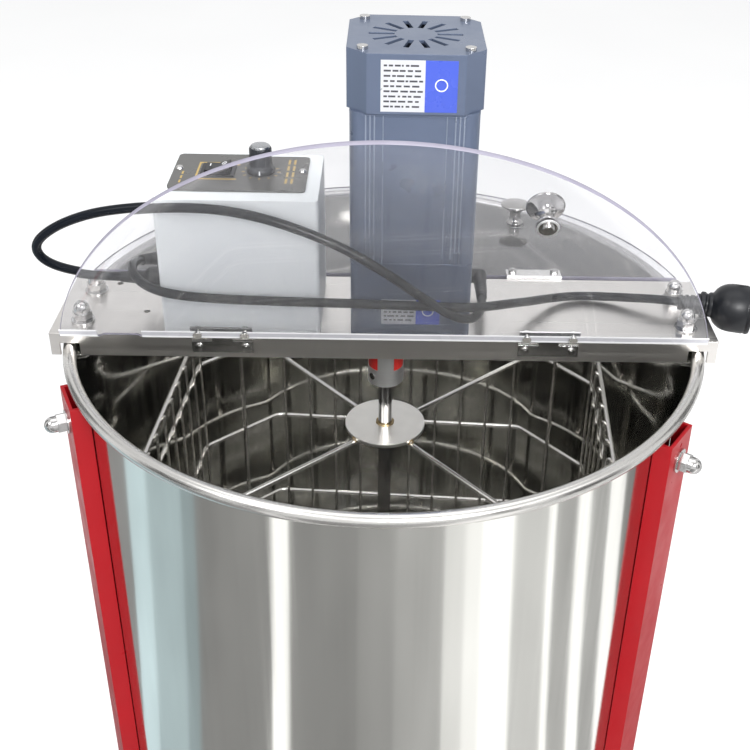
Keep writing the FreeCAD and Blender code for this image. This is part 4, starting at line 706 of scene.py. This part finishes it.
def make_lid(which):
    """A clear half disc with a polished edge."""
    hinge, tilt, (low, high), body = LIDS[which]
    place = at(0, hinge, HINGE_RISE, tilt)
    outline = lid_outline(which)
    inset = 0.5
    layers = [(low, inset), (low + inset, 0), (high - inset, 0), (high, inset)]
    middle = Vector((0, 90))
    verts, faces = [], []
    for z, pull in layers:
        for x, y in outline:
            inward = (middle - Vector((x, y))).normalized() * pull
            verts.append(place @ (Vector((x + inward.x, y + inward.y, z)) * MM))
    count = len(outline)
    for k in range(3):
        for i in range(count):
            j = (i + 1) % count
            faces.append((k * count + i, k * count + j, (k + 1) * count + j, (k + 1) * count + i))
    faces.append(tuple(range(count - 1, -1, -1)))
    faces.append(tuple(range(3 * count, 4 * count)))
    sheet = add(which + "_lid_sheet", verts, faces, "acrylic", body, False)
    sheet.data.materials.append(M["acrylic_edge"])
    for polygon in sheet.data.polygons:
        if len(polygon.vertices) == 4:
            polygon.material_index = 1
            polygon.use_smooth = True
    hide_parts(which + "_lid")


# radius and height of a lid knob, and of the washer and pan head on the other face of the lid
KNOB_PROFILE = [
    (0, 0), (7.4, 0), (8, 0.5), (8, 1.4), (7.4, 2), (6, 2.8), (5.2, 4.2), (4.9, 6), (4.8, 8.4), (5, 10.4),
    (5.8, 12.2), (7.4, 13.9), (9.8, 15.3), (12.2, 16.4), (13.3, 17.1), (13.5, 17.8), (13.4, 18.4),
    (12.8, 18.9), (11, 19.4), (8, 20.1), (4, 20.5), (0, 20.6)]
KNOB_WASHER = [(0, 0), (7.6, 0), (7.8, 0.3), (7.6, 0.9), (0, 1.0)]
KNOB_SCREW = [(0, 0.9), (4.3, 0.9), (4.4, 1.9), (3.9, 2.7), (2.8, 3.2), (0, 3.3)]


def make_edge_strip():
    """The front lid's lower edge, where the thick sheet gathers the light: painted highlight lines and a
    painted grey reflection band laid on the sheet's face.
    """
    hinge, tilt, (_, high), body = LIDS["front"]
    place = at(0, hinge, HINGE_RISE, tilt)
    ends = ((-243, -215), (-182, 243))
    lines = [((start, low, high - 0.1), (end, top, high + 0.12)) for low, top in ((3.3, 5.2), (9.4, 10.8))
             for start, end in ends]
    # the bright lines are painted highlight, the grey band between them is painted reflection
    boxes("front_lid_edge_lines", lines, "painted_edge_highlight", body, place=place)
    band = [((start, 5.2, high - 0.1), (end, 9.4, high + 0.06)) for start, end in ends]
    boxes("front_lid_edge_band", band, "painted_edge_reflection", body, place=place)


def make_hinge_nuts():
    """Washers and nuts on the screws that hold the front hinges to the tray's flange."""
    nut = [(0, 0), (3.6, 0), (3.6, 0.5), (3.0, 0.5), (3.1, 0.8), (3.1, 2.2), (2.7, 2.6), (1.5, 2.7),
           (1.5, 3.2), (0, 3.3)]
    for side in (-1, 1):
        for step in (-1, 1):
            place = at(side * 123 + step * 17.5, -53.2, 7, turn("X", 90))
            lathe("hinge_nut_%d_%d" % (side > 0, step > 0), nut, place, "chrome", "stand",
                  24)


def make_lid_knobs():
    """A turned knob on each lid's outer face, and its washer and cross-head screw on the other face, whose
    cross recess is a dark mark of painted shade.
    """
    for which, x, up in (("front", 107.5, 126), ("rear", 117, 113)):
        hinge, tilt, _, body = LIDS[which]
        flip = turn("X", 180) if which == "front" else NO_TURN
        place = at(0, hinge, HINGE_RISE, tilt) @ shift(x, up, 0) @ flip
        knob = lathe(which + "_knob_turned", KNOB_PROFILE, place, "knob_chrome", body, 64, 60)
        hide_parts(which + "_lid_knob")
        back = place @ shift(0, 0, -LID_THICK) @ turn("X", 180)
        lathe(which + "_knob_washer", KNOB_WASHER, back, "alu", body, 40)
        lathe(which + "_knob_screw", KNOB_SCREW, back, "chrome", body, 32)
        # painted shade: the screw's cross recess is a dark raised cross in the control plate's grey, not a
        # hollow
        cross = [((-x, -y, 2.2), (x, y, 3.34)) for x, y in ((2.6, 0.45), (0.45, 2.6))]
        boxes(which + "_knob_screw_recess_shade", cross, "plate", body, place=back @ turn("Z", 20))


for which in LIDS:
    make_lid(which)
make_edge_strip()
make_hinge_nuts()
make_lid_knobs()


# ---------------------------------------------------------------- motor and labels

MOTOR_X = 18
MOTOR_SIDE = 45  # from the motor's middle to its flat sides
RIDGE_OFFSETS = (22.0, 28.0, 31.0, 34.0)
BAND_HEIGHTS = ((73.4, 76.2), (187.4, 189.6))


def make_motor_ribs():
    """Extruded ridges near the corners of the motor's four sides, drawn in a lighter copy of the motor paint
    as painted highlight, and bands where its parts meet.
    """
    inner = -MOTOR_SIDE + 0.2
    for side in range(4):
        place = at(MOTOR_X, 0, 0, turn("Z", 90 * side))
        ridges = []
        for sign in (-1, 1):
            for offset in RIDGE_OFFSETS:
                wide = 0.35 if offset == RIDGE_OFFSETS[0] else 0.5
                x = sign * offset
                ridges.append(((x - wide, -MOTOR_SIDE - 0.55, 76.5), (x + wide, inner, 188.5)))
        # the ridges carry the lighter paint of painted highlight
        boxes("motor_ridges_%d" % side, ridges, "motor_ridge_highlight", "stand", 0.25, place)
        bands = [((-36, -MOTOR_SIDE - 0.5, low), (36, inner, high)) for low, high in BAND_HEIGHTS]
        boxes("motor_bands_%d" % side, bands, "motor", "stand", 0.3, place)


def print_lines(x0, x1, z0, z1, y, rows, seed):
    """Rows of short dark bars that stand for small print."""
    pick = random.Random(seed)
    bars = []
    for row in range(rows):
        z = z1 - (row + 0.5) * (z1 - z0) / rows
        tall = 0.36 * (z1 - z0) / rows
        x = x0
        while x < x1 - 2:
            wide = pick.uniform(1.2, 5.5)
            end = min(x + wide, x1)
            bars.append(((x, y, z - tall / 2), (end, y + 0.05, z + tall / 2)))
            x = end + pick.uniform(0.7, 1.6)
    return bars


def make_label(name, x0, x1, split, z0, z1, face, rows, seed):
    """A silver label with a blue field, rows of marks and a plain ring: nothing to read on it."""
    for field, left, right, material in (("_silver", x0, split, "label"), ("_blue", split, x1, "label_blue")):
        boxes(name + field, [((left, face - 0.15, z0), (right, face + 0.05, z1))], material, "stand",
              0.06)
    print_bars = print_lines(x0 + 2, split - 1.5, z0 + 2, z1 - 2, face - 0.2, rows, seed)
    boxes(name + "_print", print_bars, "ink", "stand")
    x, z = (split + x1) / 2, (z0 + z1) / 2 + 1
    ring = [at(x + 4 * math.cos(a), face - 0.15, z + 4 * math.sin(a)).translation for a in around(48)]
    sweep(name + "_ring", ring, [0.00045] * len(ring), "white", "stand", 6, True)


make_motor_ribs()
make_label("upper_label", -6, 46, 24, 192, 228, -47.5, 9, 3)
make_label("lower_label", -4, 40, 22, 25, 46, -MOTOR_SIDE, 5, 8)


# ---------------------------------------------------------------- control box

PANEL = 125.5  # height of the control plate's face
DIAL = (-95, 5)  # the speed knob's middle on the plate


def make_panel_marks():
    """Printed marks of the control plate: a bracket round the switch, a dial scale and rows of dashes."""
    z0, z1 = PANEL - 0.1, PANEL + 0.08
    bars = [((-141, y, z0), (-112, y + 2, z1)) for y in (-10.5, 17)]
    bars.append(((-142.5, -10.5, z0), (-141, 19, z1)))
    boxes("panel_bars", bars, "gold", "stand")
    verts, faces = [], []
    for i in range(11):
        place = at(*DIAL, 0, turn("Z", -240 + 30 * i))
        wide = 0.45 if i % 5 else 0.7
        faces += block_faces(len(verts))
        for z in (z0, z1):
            for x, y in ((12.2, -wide), (14.6, -wide), (14.6, wide), (12.2, wide)):
                verts.append(place @ (Vector((x, y, z)) * MM))
    add("dial_scale", verts, faces, "gold", "stand", False)
    marks = [((x, y, z0), (x + 1.8, y + 9, z1)) for x in (-76, -71.8) for y in (-16, -4, 8, 20)]
    boxes("panel_dashes", marks, "gold", "stand")
    side = [((-153, y, z0), (-151.6, y + 5, z1)) for y in (-20, -12, -4)]
    boxes("panel_side_dashes", side, "gold", "stand")


def make_speed_knob():
    """A knob with a fluted grip, a skirt with a pointer line and a spun metal cap."""
    place = at(*DIAL, PANEL)
    segments, flutes, fluted_rows = 120, 30, range(5, 9)
    profile = [(10.2, 0.6), (10.5, 1.0), (10.5, 3.4), (10.0, 4.2), (8.9, 5.0), (8.5, 5.8), (8.4, 8),
               (8.3, 17.6), (7.9, 18.4), (7.2, 18.6)]
    verts, faces = [], []
    for k, (radius, height) in enumerate(profile):
        for a in around(segments):
            flute = 0.28 * (0.5 + 0.5 * math.cos(a * flutes)) if k in fluted_rows else 0
            r = radius - flute
            verts.append(place @ (Vector((r * math.cos(a), r * math.sin(a), height)) * MM))
    for low in range(0, (len(profile) - 1) * segments, segments):
        for i in range(segments):
            j = (i + 1) % segments
            faces.append((low + i, low + j, low + segments + j, low + segments + i))
    faces.append(tuple(range(segments - 1, -1, -1)))
    faces.append(tuple(range((len(profile) - 1) * segments, len(profile) * segments)))
    grip = add("speed_knob_grip", verts, faces, "knob", "knob_body", True, 40)
    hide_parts("speed_knob")
    cap = [(0, 20.4), (4, 20.4), (6.2, 20.2), (7.0, 19.8), (7.3, 19.2), (7.3, 18.5), (0, 18.5)]
    lathe("speed_knob_cap", cap, place, "alu_cap", "knob_body", 64)
    spindle = [(0, -15), (3, -15), (3, 0.6), (5.6, 0.6), (5.6, 0.9), (0, 0.9)]
    lathe("speed_knob_spindle", spindle, place, "chrome", "knob_body", 32)
    boxes("speed_knob_pointer", [((-0.5, -10.55, 1.2), (0.5, -8.6, 4.4))], "white", "knob_body",
          place=place)


def make_rocker_marks():
    """The bar and the ring on the two halves of the power rocker."""
    tilt = at(-126.5, 4, PANEL + 1.6, turn("Y", -8))
    half_tilt = 10.1
    boxes("rocker_on_mark", [((-6.2, -2.2, 2.45), (-5.4, 2.2, 2.62))], "white", "rocker_body",
          place=tilt @ turn("Y", half_tilt))
    place = tilt @ turn("Y", -half_tilt)
    ring = [place @ (Vector((5.6 + 1.8 * math.cos(a), 1.8 * math.sin(a), 2.5)) * MM) for a in around(32)]
    sweep("rocker_off_mark", ring, [0.00025] * len(ring), "white", "rocker_body", 6, True)


make_panel_marks()
make_speed_knob()
make_rocker_marks()


# ---------------------------------------------------------------- floor, light and surroundings

def make_floor():
    """A pale floor that glows a little, so that it fades into the background."""
    half = 9.0
    mesh = bpy.data.meshes.new("floor")
    corners = [(-half, -half, 0), (half, -half, 0), (half, half, 0), (-half, half, 0)]
    mesh.from_pydata(corners, [], [(0, 1, 2, 3)])
    s = Shade("floor_pale", (0.88, 0.88, 0.88), 1.0, Specular_IOR_Level=0.0, Emission_Strength=0.2)
    s.set("Emission Color", (1, 1, 1, 1))
    s.tint(s.noise(2.0, 3.0), (0.87, 0.87, 0.87), (0.89, 0.89, 0.89))
    mesh.materials.append(s.mat)
    floor = bpy.data.objects.new("floor", mesh)
    bpy.context.scene.collection.objects.link(floor)


def make_light(name, place, aim, size, power):
    """A soft rectangular lamp that the camera doesn't see."""
    data = bpy.data.lights.new(name, "AREA")
    data.shape = "RECTANGLE"
    data.size, data.size_y = size
    data.energy = power
    lamp = bpy.data.objects.new(name, data)
    heading = (Vector(aim) - Vector(place)).to_track_quat("-Z", "Y").to_matrix().to_4x4()
    lamp.matrix_world = Matrix.Translation(place) @ heading
    lamp.visible_camera = False
    bpy.context.scene.collection.objects.link(lamp)


# strips on the floor, grey and cool grey: start and end azimuth from the front in degrees, and tone
FLAGS = ((-130, -101, 0.26), (-66, -37, 0.21), (-31, -8, 0.20), (-8, 4, 0.24), (4, 20, 0.31), (20, 27, 0.58),
         (27, 33, 0.75), (44, 57, 0.5), (60, 69, 0.36), (75, 84, 0.36), (92, 112, 0.2), (116, 122, 0.5),
         (132, 152, 0.2), (152, 161, 0.4), (172, 186, 0.25), (190, 194, 0.5), (203, 218, 0.2),
         (218, 224, 0.42))
COOL_FLAGS = ((-101, -89, 0.74), (-89, -72, 0.5), (-72, -66, 0.34))
GREY, COOL = (1, 1, 1), (0.76, 0.94, 1.0)
FLAG_RISE, FLAG_REACH = 0.004, (0.31, 3.6)

# dark boards standing round the object: azimuth from the front and width in degrees
BOARDS = ((-66, 22), (-38, 7), (36, 8), (64, 24), (112, 18), (-112, 18), (150, 9), (-150, 9))
BOARD_DISTANCE, BOARD_HEIGHTS, BOARD_TONE = 2.6, (0.4, 2.5), 0.05


def on_circle(reach, azimuth, z):
    """A point in metres at an azimuth counted from the front, towards +X."""
    a = math.radians(azimuth - 90)
    return (reach * math.cos(a), reach * math.sin(a), z)


def make_flag(name, verts, tone, tint=GREY):
    """One flat sheet that only glossy surfaces see."""
    colour = tuple(tone * part for part in tint)
    shade = Shade(name + "_cloth", colour, 0.9)
    shade.tint(shade.noise(3.0, 2.0), tuple(c * 0.9 for c in colour), tuple(c * 1.1 for c in colour))
    mesh = bpy.data.meshes.new(name)
    mesh.from_pydata(verts, [], [(0, 1, 3, 2)])
    mesh.materials.append(shade.mat)
    flag = bpy.data.objects.new(name, mesh)
    bpy.context.scene.collection.objects.link(flag)
    flag.visible_camera = flag.visible_diffuse = flag.visible_shadow = flag.visible_transmission = False


def make_flags():
    """What the polished steel mirrors: strips on the floor and boards standing round the object."""
    for name, flags, tint in (("floor", FLAGS, GREY), ("cool", COOL_FLAGS, COOL)):
        for i, (start, end, tone) in enumerate(flags):
            corners = [on_circle(reach, azimuth, FLAG_RISE) for reach in FLAG_REACH
                       for azimuth in (start, end)]
            make_flag("%s_flag_%d" % (name, i), corners, tone, tint)
    for i, (middle, width) in enumerate(BOARDS):
        sides = (middle - width / 2, middle + width / 2)
        corners = [on_circle(BOARD_DISTANCE, azimuth, z) for z in BOARD_HEIGHTS for azimuth in sides]
        make_flag("board_flag_%d" % i, corners, BOARD_TONE)


def make_surroundings():
    """A pale room, a little darker overhead."""
    world = bpy.data.worlds.new("studio")
    bpy.context.scene.world = world
    world.use_nodes = True
    tree = world.node_tree
    background = tree.nodes["Background"]
    background.inputs["Color"].default_value = (0.99, 0.995, 1.0, 1)
    coord = tree.nodes.new("ShaderNodeTexCoord")
    split = tree.nodes.new("ShaderNodeSeparateXYZ")
    fade = tree.nodes.new("ShaderNodeMapRange")
    for key, number in (("From Min", 0.35), ("From Max", 0.95), ("To Min", 0.92), ("To Max", 0.68)):
        fade.inputs[key].default_value = number
    tree.links.new(coord.outputs["Generated"], split.inputs["Vector"])
    tree.links.new(split.outputs["Z"], fade.inputs["Value"])
    tree.links.new(fade.outputs["Result"], background.inputs["Strength"])


make_floor()
make_surroundings()
make_flags()
make_light("key", (-1.6, -1.6, 3.0), (0, 0, 0.8), (1.6, 1.6), 20)
make_light("fill", (2.2, -1.2, 2.2), (0, 0, 0.8), (1.4, 2.0), 8)
make_light("top", (0, 0.2, 3.2), (0, 0, 0.9), (2.4, 1.6), 14)
make_light("front", (0.5, -2.0, 2.3), (0, 0, 0.75), (0.7, 0.7), 50)
bpy.context.scene.view_settings.view_transform = "Standard"
